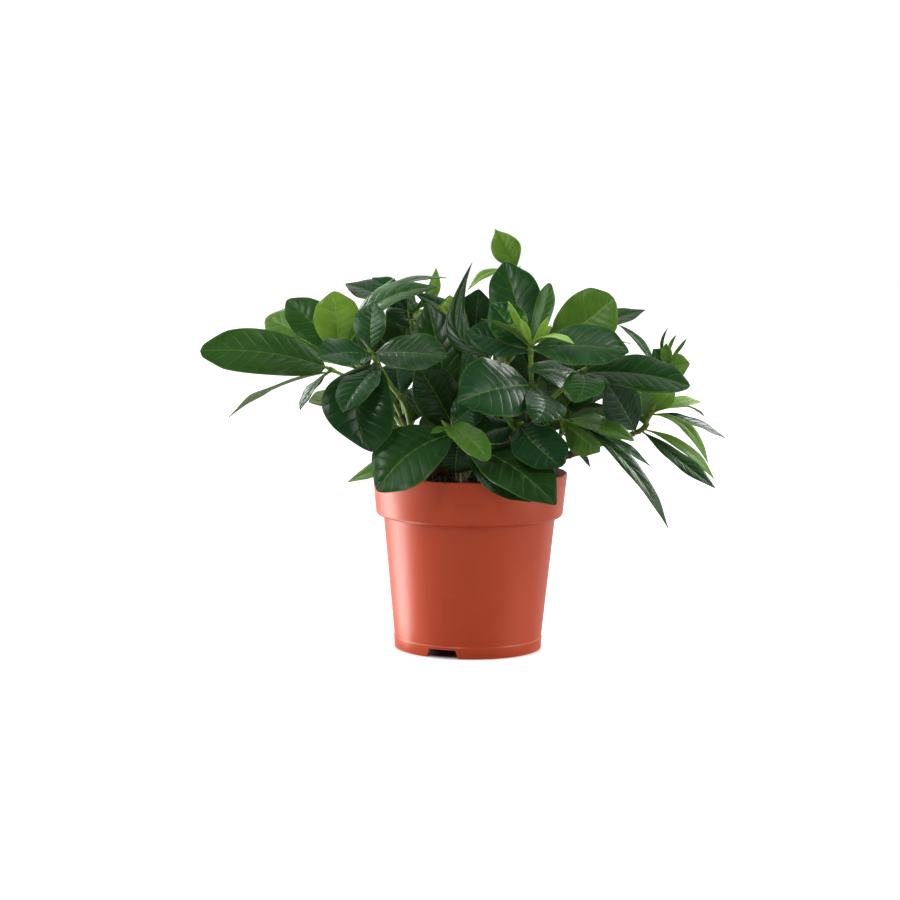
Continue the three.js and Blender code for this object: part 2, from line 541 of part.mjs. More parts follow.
// A tapering stem with flat ends, made wider by extra where it cuts its own seat.
function stemSolid(curve, radius, sides, steps, extra = 0) {
  const frames = curve.computeFrenetFrames(steps);
  const positions = [];
  for (let i = 0; i <= steps; i++) {
    const centre = curve.getPointAt(i / steps);
    const size = THREE.MathUtils.lerp(...radius, i / steps) + extra;
    if (i === 0) centre.addScaledVector(frames.tangents[0], -extra);
    if (i === steps) centre.addScaledVector(frames.tangents[steps], extra);
    for (let j = 0; j < sides; j++) {
      const round = (2 * Math.PI * j) / sides;
      const spot = centre.clone()
        .addScaledVector(frames.normals[i], size * Math.cos(round))
        .addScaledVector(frames.binormals[i], size * Math.sin(round));
      positions.push(...spot);
    }
  }
  const index = [];
  for (let i = 0; i < steps; i++) {
    for (let j = 0; j < sides; j++) {
      const a = i * sides + j;
      const b = i * sides + ((j + 1) % sides);
      index.push(a, b, b + sides, a, b + sides, a + sides);
    }
  }
  for (let j = 1; j < sides - 1; j++) {
    index.push(0, j + 1, j);
    index.push(steps * sides, steps * sides + j, steps * sides + j + 1);
  }
  const geometry = new THREE.BufferGeometry();
  geometry.setAttribute('position', new THREE.Float32BufferAttribute(positions, 3));
  geometry.setIndex(index);
  return toSolid(geometry);
}

// A blade as a thin plate: a narrow foot with two corners, then three points across at each
// station, then the tip. Wider blades have more stations. Both faces are split into triangles alike.
const bladeStations = [
  { under: 12, at: [0.5] },
  { under: 21.5, at: [0.24, 0.76] },
  { under: Infinity, at: [0.17, 0.5, 0.84] },
];
function bladeSolid(blade, thick) {
  const stations = bladeStations.find((size) => blade.wide < size.under).at;
  const lift = blade.normal.clone().multiplyScalar(thick / 2);
  const positions = [];
  const add = (spot) => positions.push(...spot.clone().add(lift), ...spot.clone().sub(lift));
  add(blade.spot(0, -1));
  add(blade.spot(0, 1));
  for (const t of stations) {
    for (const u of [-1, 0, 1]) add(blade.spot(t, u));
  }
  add(blade.spot(1, 0));
  const index = [];
  // One triangle on the upper face, and the same one turned round on the lower face.
  const bothFaces = (a, b, c) => index.push(2 * a, 2 * b, 2 * c, 2 * a + 1, 2 * c + 1, 2 * b + 1);
  // The narrow wall below the upper edge from a to b, which faces right of that direction.
  const wall = (a, b) => index.push(2 * a, 2 * b, 2 * a + 1, 2 * b, 2 * b + 1, 2 * a + 1);
  bothFaces(0, 3, 2);
  bothFaces(0, 1, 3);
  bothFaces(1, 4, 3);
  wall(1, 0);
  wall(0, 2);
  wall(4, 1);
  for (let i = 1; i < stations.length; i++) {
    const row = 3 * i - 1;
    for (const a of [row, row + 1]) {
      bothFaces(a, a + 1, a + 4);
      bothFaces(a, a + 4, a + 3);
    }
    wall(row, row + 3);
    wall(row + 5, row + 2);
  }
  const tip = 2 + 3 * stations.length;
  bothFaces(tip - 3, tip - 2, tip);
  bothFaces(tip - 2, tip - 1, tip);
  wall(tip - 3, tip);
  wall(tip, tip - 1);
  const geometry = new THREE.BufferGeometry();
  geometry.setAttribute('position', new THREE.Float32BufferAttribute(positions, 3));
  geometry.setIndex(index);
  return toSolid(geometry);
}

// A turned solid from a profile of radius and height.
function turned(profile, segments) {
  const points = profile.map(([radius, height]) => new THREE.Vector2(radius, height));
  return new THREE.LatheGeometry(points, segments).rotateX(Math.PI / 2);
}

function makePot() {
  const { wall } = pot;
  const profile = [
    [0, pot.plateTop - pot.plate],
    [pot.footRadius - pot.skirtWall, pot.plateTop - pot.plate],
    [pot.footRadius - pot.skirtWall, 0],
    [pot.footRadius, 0],
    [pot.footRadius + pot.footStep, pot.plateTop],
    [pot.bodyLowRadius - pot.footStep / 2, pot.plateTop + pot.footStep],
    [pot.bodyTopRadius, pot.bodyTop],
    [pot.lipLowRadius - pot.rimRound, pot.lipLow - pot.rimRound],
    [pot.lipLowRadius, pot.lipLow],
    [pot.lipTopRadius, pot.height - pot.rimRound],
    [pot.lipTopRadius - pot.rimBevel, pot.height],
    [pot.lipTopRadius - wall, pot.height],
    [pot.lipLowRadius - wall, pot.lipLow + wall],
    [pot.bodyTopRadius - wall, pot.bodyTop + wall],
    [pot.bodyLowRadius - wall, pot.plateTop],
    [0, pot.plateTop],
  ];
  let solid = toSolid(turned(profile, pot.segments));
  const sides = new THREE.Shape([
    new THREE.Vector2(-notch.wideLow / 2, -notch.spare),
    new THREE.Vector2(notch.wideLow / 2, -notch.spare),
    new THREE.Vector2(notch.wideTop / 2, notch.high),
    new THREE.Vector2(-notch.wideTop / 2, notch.high),
  ]);
  for (let i = 0; i < notch.count; i++) {
    const turn = THREE.MathUtils.degToRad(notch.turn + (360 * i) / notch.count);
    const cutter = new THREE.ExtrudeGeometry(sides, { depth: notch.deep, bevelEnabled: false })
      .rotateX(Math.PI / 2)
      .translate(0, (3 / 4) * notch.deep - pot.footRadius, 0)
      .rotateZ(turn);
    solid = solid.subtract(toSolid(cutter));
  }
  for (let i = 0; i < drain.count; i++) {
    const turn = (2 * Math.PI * i) / drain.count;
    const cutter = new THREE.CylinderGeometry(drain.radius, drain.radius, 2 * pot.plate, drain.sides)
      .rotateX(Math.PI / 2)
      .translate(drain.circle, 0, pot.plateTop - pot.plate / 2)
      .rotateZ(turn);
    solid = solid.subtract(toSolid(cutter));
  }
  return solid;
}

// Low lumps and hollows in the soil's top.
function lumps(x, y) {
  return Math.sin(x * 0.21 + 1.3) * Math.cos(y * 0.17) + 0.6 * Math.sin(x * 0.43 - y * 0.37 + 0.8);
}

function makeSoil() {
  const { gap } = soil;
  const lipSlope = (pot.lipTopRadius - pot.lipLowRadius) / (pot.height - pot.lipLow);
  const inset = pot.wall + gap + soil.sag;
  const rimRadius = pot.lipLowRadius + lipSlope * (soil.top - pot.lipLow) - inset;
  const profile = [
    [0, pot.plateTop + gap],
    [pot.bodyLowRadius - inset, pot.plateTop + gap],
    [pot.bodyTopRadius - inset, pot.bodyTop + 2 * pot.wall],
    [pot.lipLowRadius - inset - soil.shoulder, pot.lipLow + 2 * pot.wall],
    [rimRadius, soil.top - soil.shoulder],
  ];
  for (let ring = soil.rings; ring >= 0; ring--) {
    profile.push([(rimRadius - soil.shoulder) * (ring / soil.rings), soil.top]);
  }
  const geometry = turned(profile, soil.segments);
  const spots = geometry.attributes.position;
  for (let i = 0; i < spots.count; i++) {
    if (spots.getZ(i) < soil.top - soil.shoulder / 2) continue;
    spots.setZ(i, soil.top + soil.rough * lumps(spots.getX(i), spots.getY(i)));
  }
  let solid = toSolid(geometry);
  for (const wood of Object.values(woods)) {
    solid = solid.subtract(stemSolid(wood.curve, wood.radius, woodSides, woodSteps, gap));
  }
  return solid;
}

const terracotta = new THREE.MeshStandardMaterial({ color: 0xc98672, roughness: 0.5 });
const earth = new THREE.MeshStandardMaterial({ color: 0x3a2f28, roughness: 0.95 });
const bark = new THREE.MeshStandardMaterial({ color: 0x7d6a52, roughness: 0.85 });
const foliage = new THREE.MeshStandardMaterial({ color: 0x3f6b3c, roughness: 0.35 });

const plant = new THREE.Group();
plant.name = 'potted_gardenia';
plant.add(toMesh(makePot(), 'pot', terracotta));
plant.add(toMesh(makeSoil(), 'soil', earth));

for (const [name, wood] of Object.entries(woods)) {
  wood.seat = stemSolid(wood.curve, wood.radius, woodSides, woodSteps, seatGap);
  plant.add(toMesh(stemSolid(wood.curve, wood.radius, woodSides, woodSteps), 'stem_' + name, bark));
}

const leaves = settle();
for (const shoot of shoots) {
  let solid = stemSolid(shoot.curve, shoot.radius, shootSides, shootSteps);
  for (const { blade } of leaves.filter((placed) => placed.shoot === shoot)) {
    solid = solid.add(bladeSolid(blade, bladeThick));
  }
  for (const wood of Object.values(woods)) solid = solid.subtract(wood.seat);
  plant.add(toMesh(largest(solid), 'shoot_' + shoot.name, foliage));
}

export default plant;
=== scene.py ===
# The potted gardenia dressed for its portrait: pot, potting mix, woody stems and leafy shoots.
import math

import bmesh
import bpy
import numpy as np
from mathutils import Matrix, Vector, noise


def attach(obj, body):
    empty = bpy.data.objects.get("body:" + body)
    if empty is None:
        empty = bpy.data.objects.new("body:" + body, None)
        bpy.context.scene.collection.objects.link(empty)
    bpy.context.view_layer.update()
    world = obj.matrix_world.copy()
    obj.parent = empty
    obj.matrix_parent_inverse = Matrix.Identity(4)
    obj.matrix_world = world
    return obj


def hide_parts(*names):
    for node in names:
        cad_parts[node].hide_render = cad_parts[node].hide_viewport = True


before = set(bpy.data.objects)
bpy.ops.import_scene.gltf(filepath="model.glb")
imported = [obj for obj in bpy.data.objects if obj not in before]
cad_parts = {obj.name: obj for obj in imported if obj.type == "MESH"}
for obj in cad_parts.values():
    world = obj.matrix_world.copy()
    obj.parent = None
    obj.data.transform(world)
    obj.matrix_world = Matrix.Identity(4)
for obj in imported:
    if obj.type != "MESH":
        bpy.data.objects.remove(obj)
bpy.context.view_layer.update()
mm = 0.001  # the plant is laid out in millimetres, and each finished mesh is scaled to metres
print("frame loaded:", len(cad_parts), "CAD pieces")

# The photograph's camera: eye and aim in millimetres, focal length in its pixels, roll in degrees.
view = {
    "eye": (-13.5, -1600, 312),
    "aim": (-13.5, 0, 132),
    "focal": 2415,
    "roll": 0.7,
    "middle": 450,
    "sensor": 36,
}


def at(x, y, z):
    return np.array((x, y, z), float)


def unit(vector):
    return vector / np.linalg.norm(vector)


eye = at(*view["eye"])
sight = unit(at(*view["aim"]) - eye)
sightRight = unit(np.cross(sight, (0, 0, 1)))
sightUp = np.cross(sightRight, sight)
rollCos = math.cos(math.radians(view["roll"]))
rollSin = math.sin(math.radians(view["roll"]))


def seen(px, py, depth):
    # the point that a pixel of the picture shows, at this depth along Y (minus is toward the viewer)
    x = px - view["middle"]
    y = view["middle"] - py
    ray = sight + sightRight * (x * rollCos - y * rollSin) / view["focal"]
    ray = ray + sightUp * (x * rollSin + y * rollCos) / view["focal"]
    return eye + ray * (depth - eye[1]) / ray[1]


def pixelsOf(points):
    rays = points - eye
    far = rays @ sight
    right = view["focal"] * (rays @ sightRight) / far
    up = view["focal"] * (rays @ sightUp) / far
    return view["middle"] + right * rollCos + up * rollSin, view["middle"] + right * rollSin - up * rollCos


def makeCamera():
    camera = bpy.data.objects.new("camera", bpy.data.cameras.new("camera"))
    camera.data.lens = view["focal"] * view["sensor"] / (2 * view["middle"])
    camera.data.sensor_width = view["sensor"]
    camera.data.clip_start = 0.05
    right = sightRight * rollCos + sightUp * rollSin
    up = sightUp * rollCos - sightRight * rollSin
    turn = Matrix(np.stack([right, up, -sight], axis=1).tolist()).to_4x4()
    camera.matrix_world = Matrix.Translation(Vector(eye * mm)) @ turn
    bpy.context.collection.objects.link(camera)
    bpy.context.scene.camera = camera


makeCamera()


# One leaf: how far along its shoot it grows (0 to 1), its tip (a pixel and a depth), its width, where
# its upper face looks (degrees turned from the viewer, degrees raised), its bow off the straight line,
# and its age from 0 (old and dark) to 1 (young and lime). A low full is a blunt leaf; arc bends it
# sideways.
def leaf(share, tip, wide, face, bow, age, full=0.75, arc=0, fold=0.16):
    turn, rise = [math.radians(angle) for angle in face]
    toward = at(math.sin(turn) * math.cos(rise), -math.cos(turn) * math.cos(rise), math.sin(rise))
    return {"share": share, "tip": seen(*tip), "wide": wide, "toward": toward, "bow": bow, "age": age,
            "full": full, "arc": arc, "fold": fold}


def stem(radius, *path):
    return {"radius": radius, "path": [at(*point) for point in path]}


def shown(name, wood, share, radius, path, *leaves):
    # a shoot of the picture: its wood and how far along it, its path in pixels and depths, its leaves
    shoots.append({"name": name, "wood": wood, "share": share, "radius": radius,
                   "path": [seen(*point) for point in path], "leaves": leaves})


def behind(name, wood, share, radius, path, pairs, length, wide, turn, young):
    # a shoot behind the others, with its path in millimetres and the rule for its pairs of leaves
    shoots.append({"name": name, "wood": wood, "share": share, "radius": radius,
                   "path": [at(*point) for point in path],
                   "rule": {"pairs": pairs, "length": length, "wide": wide, "turn": turn, "young": young}})


# The woody stems, from their roots in the potting mix to where they end in the foliage.
woods = {
    "left": stem((3, 2), (-26, -10, 84), (-27, -12, 112), (-36, -14, 136), (-46, -14, 156)),
    "middle": stem((3, 2), (-6, 16, 84), (-7, 16, 112), (-13, 20, 146), (-22, 24, 180)),
    "right": stem((3.2, 2.1), (22, -8, 84), (24, -9, 112), (37, -16, 146), (44.5, -26, 172)),
    "side": stem((3, 2.2), (40, 12, 84), (43, 12, 112), (60, 8, 126), (78, 2, 133)),
    "front": stem((2.8, 2), (-3, -24, 84), (-4, -25, 112), (-7, -30, 134)),
    "back": stem((3, 2), (8, 36, 84), (9, 38, 112), (14, 50, 146), (16, 58, 176)),
}

# The leafy shoots. Those in the picture list their leaves; those behind grow theirs by a rule.
shoots = []
shown("left_far", "left", 0.99, (1.6, 1.1), [(388, 395, -16), (356, 381, -20), (330, 369, -30)],
      leaf(1, (200, 351, -66), 29.5, (0, 12), 3, 0.37, full=0.36, arc=4.5),
      leaf(0.93, (229, 417, 14), 24, (0, 84), 5.5, 0.15, full=1),
      leaf(0.96, (300, 410, -52), 15, (-60, 30), 3, 0.1, arc=-1),
      leaf(0.2, (309, 402, -2), 20, (170, 50), -1, 0.45, full=0.5))
shown("left_up", "left", 0.84, (1.7, 1.1), [(396, 388, 6), (360, 367, 6), (339, 352, 6)],
      leaf(1, (334, 291, -4), 31, (8, 10), 3, 0.9, full=0.48),
      leaf(0.96, (287, 300, 14), 29, (24, 12), 3, 0.36, full=0.5),
      leaf(0.9, (266, 318, 36), 33, (10, 20), 3, 0.6, full=0.48),
      leaf(0.94, (438, 287, -2), 24, (-48, 42), 16, 0.25),
      leaf(0.9, (447, 278, 14), 18, (-60, 50), 18.5, 0.2),
      leaf(0.92, (395, 278, 16), 10, (-60, 30), 6, 0.6),
      leaf(0.05, (380, 412, 16), 20, (0, 24), 2, 0.05))
shown("left_front", "left", 0.74, (2, 1.3), [(405, 405, -32), (390, 384, -42), (372, 354, -50)],
      leaf(0.98, (318, 357, -84), 25, (-10, 34), 3, 0.18, full=0.55),
      leaf(1, (447, 357, -74), 29, (0, 38), 3, 0.12, full=0.5),
      leaf(1, (374, 301, -48), 25, (-30, 10), 3, 0.2),
      leaf(0.8, (343, 412, -92), 25, (-20, 24), 4, 0.12, full=0.6),
      leaf(0.88, (371, 452, -76), 46, (6, 24), 6, 0.08, full=0.5, arc=11, fold=0.34),
      leaf(0.15, (396, 363, -12), 31, (-10, 20), 3, 0.03))
shown("centre_left", "middle", 0.5, (1.9, 1.3), [(452, 440, -10), (455, 428, -26), (452, 408, -36)],
      leaf(0.45, (417, 364, -62), 31, (0, 22), 3, 0.14, full=0.52),
      leaf(0.25, (391, 447, -62), 22, (-20, 50), 4, 0.08),
      leaf(0.75, (486, 406, -52), 10, (40, 60), 2, 0.4),
      leaf(0.95, (427, 302, -16), 31, (0, 20), 3, 0.12),
      leaf(0.95, (470, 352, -4), 26, (20, 40), 3, 0.08))
shown("front_low", "front", 0.9, (1.8, 1.3), [(462, 446, -46), (457, 436, -54), (447, 426, -61)],
      leaf(0.6, (377, 491, -92), 42, (-12, 26), 6, 0.2, full=0.54, arc=5),
      leaf(1, (488, 461, -94), 19, (10, 36), 6, 0.52, full=0.32),
      leaf(0.9, (431, 433, -66), 6, (0, 60), 1, 0.6),
      leaf(0.15, (556, 505, -92), 42, (20, 40), 8, 0.12, full=0.65),
      leaf(0.1, (531, 502, -98), 26, (-10, 30), 4, 0.08),
      leaf(0.2, (348, 482, -22), 17, (-20, 48), 3, 0.6),
      leaf(0.35, (455, 473, -50), 27, (-6, 24), 3, 0.03, full=0.5),
      leaf(0.85, (480, 402, -30), 22, (0, 30), 3, 0.05))
shown("front_right", "right", 0.55, (1.8, 1.3), [(508, 436, -30), (514, 428, -46), (520, 424, -56)],
      leaf(0.95, (562, 467, -80), 34, (10, 34), 4, 0.03, full=0.42, arc=4.5),
      leaf(0.45, (502, 416, -66), 13, (0, 30), 2, 0.55),
      leaf(0.7, (470, 440, -76), 26, (-10, 40), 3, 0.05))
shown("top_right", "right", 0.99, (2, 1.4), [(533, 388, -36), (531, 366, -46), (531, 346, -54)],
      leaf(0.05, (458, 402, -92), 45, (0, 26), 7, 0.16, full=0.6),
      leaf(0.05, (533, 423, -78), 28, (18, 24), 4, 0.14, arc=-7),
      leaf(0.98, (505, 262, -22), 34, (8, 6), -3, 0.2, full=0.55),
      leaf(0.95, (629, 352, -86), 32, (8, 32), 5, 0.24, full=0.6),
      leaf(0.97, (481, 319, -82), 15, (-40, 76), 3, 0.35),
      leaf(0.88, (472, 263, -14), 16, (-20, 24), -3, 0.14, arc=-33),
      leaf(0.93, (550, 283, -26), 13, (20, 8), 2, 0.4, full=0.4),
      leaf(0.8, (465, 332, -54), 27, (0, 40), 3, 0.1),
      leaf(0.4, (577, 388, -36), 26, (0, 40), 3, 0.04),
      leaf(0.98, (508, 301, -60), 5, (-30, 20), 1, 0.95),
      leaf(0.99, (521, 319, -62), 6, (0, 10), 1, 1),
      leaf(0.99, (548, 317, -58), 5, (30, 10), 1, 1),
      leaf(0.97, (552, 325, -50), 5, (30, 40), 1, 0.95),
      leaf(0.99, (574, 344, -98), 8, (10, 60), 6, 0.95),
      leaf(0.86, (490, 303, -34), 25, (-10, 30), 3, 0.12))
shown("top_back", "middle", 0.98, (1.9, 1.2),
      [(448, 380, 26), (474, 344, 24), (500, 308, 20), (516, 275, 16)],
      leaf(1, (495, 229, 12), 20, (-14, 0), 3, 0.8, arc=2.5, full=1.05, fold=0.35),
      leaf(0.97, (468, 290, 2), 9, (-20, 60), 9, 0.8),
      leaf(0.35, (479, 289, 12), 25, (-10, 20), 3, 0.1, full=0.6),
      leaf(0.42, (414, 293, 0), 15, (-10, 60), 3, 0.12),
      leaf(0.1, (450, 295, 12), 26, (-10, 20), 3, 0.03, full=0.6))
shown("right_up", "right", 0.8, (1.9, 1.2), [(530, 400, 6), (546, 358, 16), (556, 332, 18)],
      leaf(0.8, (614, 298, 14), 38.5, (0, 14), 3, 0.66, full=0.38, arc=2.5),
      leaf(0.95, (645, 310, 54), 18, (20, 60), 0, 0.15),
      leaf(0.85, (631, 344, 60), 12, (0, 80), 3, 0.1),
      leaf(0.2, (521, 349, -2), 28, (-10, 20), 3, 0.03),
      leaf(0.55, (560, 385, 0), 24, (10, 20), 3, 0.03),
      leaf(0.4, (546, 400, -4), 20, (10, 24), 3, 0.03))
shown("right_front", "right", 0.9, (1.8, 1.2), [(552, 398, -40), (572, 380, -54), (581, 372, -60)],
      leaf(1, (575, 403, -84), 26, (-6, 26), 3, 0.28, full=0.52, arc=-4),
      leaf(0.98, (597, 397, -84), 15, (20, 36), 2, 0.32),
      leaf(0.9, (610, 384, -70), 9, (10, 80), 2, 0.15),
      leaf(0.92, (690, 386, -58), 30, (4, 46), 4, 0.14, full=0.45, arc=-1.5),
      leaf(0.8, (666, 379, -36), 22, (0, 44), 4, 0.16),
      leaf(0.92, (528, 372, -84), 18, (0, 64), 3, 0.08))
shown("right_tuft", "side", 0.88, (1.7, 1), [(608, 418, 20), (646, 396, 24), (667, 364, 24)],
      leaf(1, (668, 328, 22), 2.6, (-40, 20), 1, 0.4, arc=-4),
      leaf(1, (677, 334, 24), 2.6, (0, 20), 1, 0.55, arc=-2),
      leaf(1, (687, 338, 26), 2.6, (30, 30), 1, 0.5),
      leaf(0.97, (653, 349, 14), 12, (-10, 20), 1, 0.25),
      leaf(0.97, (666, 343, 12), 8, (0, 10), 1, 0.75),
      leaf(0.9, (690, 364, 12), 17, (20, 20), 3, 0.75, full=0.55),
      leaf(0.75, (619, 325, 26), 7, (20, 50), 3, 0.3, arc=4.5))
shown("right_low", "side", 0.99, (1.9, 1.1), [(612, 440, -2), (641, 430, -10), (651, 413, -14)],
      leaf(0.98, (725, 438, 14), 14, (0, 64), 3.5, 0.08),
      leaf(0.96, (708, 463, -40), 9, (20, 54), 11.5, 0.75),
      leaf(1, (701, 402, 8), 12, (0, 60), 4, 0.85),
      leaf(0.97, (704, 416, 30), 11, (0, 70), 7, 0.12),
      leaf(1, (675, 389, -14), 13, (10, 30), 2, 0.85),
      leaf(0.5, (715, 488, -46), 14, (24, 44), 0, 0.14),
      leaf(0.55, (714, 479, -14), 10, (20, 50), 7, 0.7),
      leaf(0.85, (621, 383, -30), 11, (30, 50), -5, 0.2),
      leaf(0.4, (606, 380, -44), 27, (-8, 20), 3, 0.02),
      leaf(0.6, (640, 384, 12), 22, (-10, 20), 3, 0.5),
      leaf(0.3, (571, 424, -26), 18, (0, 40), 3, 0.65))
shown("right_hang", "side", 0.45, (1.8, 1.2), [(560, 436, -22), (562, 424, -36), (560, 415, -42)],
      leaf(0.95, (668, 528, -78), 15, (40, 52), 12, 0.1, full=0.9),
      leaf(0.7, (634, 441, -44), 18, (10, 66), 4, 0.5, full=0.5),
      leaf(0.4, (650, 466, 0), 16, (10, 74), 5, 0.2),
      leaf(0.1, (590, 467, -30), 7, (40, 40), 2, 0.1),
      leaf(0.6, (600, 452, -10), 22, (-30, 20), 3, 0.6),
      leaf(0.8, (535, 440, -10), 26, (-20, 30), 3, 0.05))
shown("top_left", "middle", 0.99, (1.9, 1.2), [(424, 362, 26), (414, 334, 28), (410, 312, 28)],
      leaf(1, (345, 284, 20), 26, (0, 64), 3, 0.12),
      leaf(0.96, (372, 278, 50), 20, (0, 50), 3, 0.12),
      leaf(1, (436, 268, 34), 9, (10, 10), 2, 0.8, arc=6),
      leaf(0.8, (407, 321, 4), 10, (0, 50), 1, 0.1),
      leaf(0.55, (396, 300, 8), 24, (0, 30), 2, 0.25),
      leaf(0.85, (429, 318, 14), 12, (0, 10), 1, 0.85))
behind("inner_middle", "middle", 0.8, (1.9, 1.2), [(6, 20, 172), (20, 24, 184), (30, 25, 196)],
       4, (44, 60), (24, 31), 15, 0)
behind("inner_right", "right", 0.4, (1.9, 1.2), [(44, 0, 140), (56, 8, 152), (66, 12, 164)],
       4, (42, 56), (23, 30), 50, 0)
behind("inner_left", "left", 0.4, (1.8, 1.2), [(-30, 0, 134), (-26, 4, 150), (-24, 2, 166)],
       4, (40, 54), (22, 29), 30, 0)
behind("inner_low", "front", 0.55, (1.8, 1.2), [(4, -20, 130), (10, -14, 140), (14, -14, 152)],
       4, (38, 52), (22, 28), 60, 0)
behind("back_top", "back", 0.98, (2, 1.2), [(17, 66, 196), (14, 74, 212)],
       5, (52, 68), (26, 33), 20, 0.6)
behind("back_left", "middle", 0.62, (2, 1.2), [(-26, 46, 168), (-46, 64, 186), (-58, 72, 196)],
       5, (50, 64), (25, 32), 70, 0.6)
behind("back_far_left", "left", 0.5, (1.9, 1.1), [(-54, 16, 158), (-78, 38, 184), (-88, 46, 198)],
       6, (46, 60), (24, 30), 40, 0.7)
behind("back_right", "back", 0.7, (2, 1.2), [(34, 60, 172), (58, 72, 186), (74, 76, 194)],
       6, (50, 64), (25, 32), 10, 0.6)
behind("back_far_right", "side", 0.8, (1.9, 1.1), [(88, 22, 144), (104, 40, 160), (112, 50, 172)],
       5, (46, 58), (20, 27), 60, 0.7)
behind("back_low", "back", 0.45, (1.9, 1.2), [(10, 62, 138), (8, 78, 146), (6, 88, 152)],
       5, (46, 60), (26, 33), 30, 0.5)
behind("back_low_left", "left", 0.3, (1.8, 1.1), [(-38, 12, 130), (-48, 36, 140), (-54, 50, 148)],
       5, (42, 56), (24, 30), 80, 0.5)
behind("back_low_right", "side", 0.35, (1.8, 1.1), [(54, 30, 134), (56, 50, 142), (58, 62, 148)],
       5, (42, 56), (22, 29), 20, 0.5)

# The outline of the whole crown in the picture: leaves placed by rule stay inside it.
crown = [
    (206, 352), (262, 338), (268, 320), (288, 312), (292, 302), (325, 296), (345, 297), (358, 312),
    (373, 300), (350, 287), (395, 280), (445, 280), (440, 292), (452, 302), (464, 296), (489, 298),
    (492, 268), (520, 266), (538, 286), (551, 290), (550, 316), (562, 306), (578, 294), (612, 296),
    (612, 318), (604, 328), (628, 354), (652, 360), (662, 350), (688, 362), (684, 389), (652, 392),
    (648, 424), (630, 430), (600, 448), (576, 436), (558, 434), (556, 476), (378, 476), (376, 462),
    (390, 446), (384, 442), (371, 450), (342, 442), (326, 420), (332, 400), (342, 386), (356, 376),
    (350, 366), (318, 362), (270, 374),
]

# The box of the crown, and the room kept free over the mix and round the rim of the pot.
crownBox = {"side": 172, "back": 99, "low": 104}
potRoom = {"soilTop": 112.5, "rimTop": 121.5, "rim": 65, "in": 7, "soilIn": 2, "out": 3.8}


def curvePoint(path, share):
    # a smooth curve through the points of a path
    ends = [2 * path[0] - path[1], *path, 2 * path[-1] - path[-2]]
    place = min(max(share, 0), 1) * (len(path) - 1)
    step = min(int(place), len(path) - 2)
    f = place - step
    a, b, c, d = ends[step:step + 4]
    return b + 0.5 * f * (c - a + f * (2 * a - 5 * b + 4 * c - d + f * (3 * (b - c) + d - a)))


def mixed(ends, share):
    # a value part of the way from the first to the second
    return ends[0] + (ends[1] - ends[0]) * share


def directionAt(path, share):
    return unit(curvePoint(path, min(share + 0.02, 1)) - curvePoint(path, max(share - 0.02, 0)))


for shoot in shoots:
    start = curvePoint(woods[shoot["wood"]]["path"], shoot["share"])
    shoot["line"] = [start, *shoot["path"]]
    shoot["firstOwn"] = 1 / len(shoot["path"])


def onShoot(shoot, share):
    # the place along a shoot's line: 0 is its first point past the wood, 1 is its tip
    return shoot["firstOwn"] + share * (1 - shoot["firstOwn"])


# How a blade's width runs: its stalk, how far past the middle it is widest, and its drawn-in tip.
shape = {"stalk": 0.05, "stalkWide": 0.06, "lean": 1.2, "drawnFrom": 0.8, "drawnBy": 0.3,
         "least": 0.03, "channel": 1.6}


def outline(t, full):
    # the width of a leaf from its foot (0) to its tip (1), as a share of its full width
    s = np.clip((t - shape["stalk"]) / (1 - shape["stalk"]), 0, 1)
    body = np.abs(np.sin(math.pi * s ** shape["lean"])) ** full
    drawn = np.clip((s - shape["drawnFrom"]) / (1 - shape["drawnFrom"]), 0, 1)
    wide = np.maximum(shape["least"], body * (1 - shape["drawnBy"] * drawn * drawn * (3 - 2 * drawn)))
    return np.where(t <= shape["stalk"], shape["stalkWide"], wide)


def bladeOf(foot, tip, row):
    along = tip - foot
    length = np.linalg.norm(along)
    along = along / length
    normal = unit(row["toward"] - along * (row["toward"] @ along))
    return {"foot": foot, "along": along, "length": length, "normal": normal,
            "across": np.cross(along, normal), "row": row}


def spots(blade, t, u, extra=0):
    # points of a blade: t runs from foot to tip, u from edge (-1) to edge (1), extra stands off its face
    row = blade["row"]
    half = row["wide"] / 2 * outline(t, row["full"])
    swing = 4 * t * (1 - t)
    rise = row["bow"] * swing + half * row["fold"] * (shape["channel"] * np.abs(u) - u * u) + extra
    aside = u * half + row["arc"] * swing
    return (blade["foot"] + np.multiply.outer(blade["length"] * t, blade["along"])
            + np.multiply.outer(rise, blade["normal"]) + np.multiply.outer(aside, blade["across"]))


chance = {"seed": 7}


def draw(low, high):
    chance["seed"] = (chance["seed"] * 1664525 + 1013904223) % 4294967296
    return low + (high - low) * chance["seed"] / 4294967296


# Leaves in opposite pairs, each pair turned a quarter from the last, smaller and steeper at the tip.
pairRule = {"shares": (0.15, 0.98), "spread": (78, 42), "jitter": (-8, 8), "jitterTurn": (-14, 14),
            "shrink": 0.3, "bow": (-4, 1), "arc": (-2, 2), "oldest": 0.04, "ages": (0, 0.12),
            "fold": 0.16, "full": 0.7}


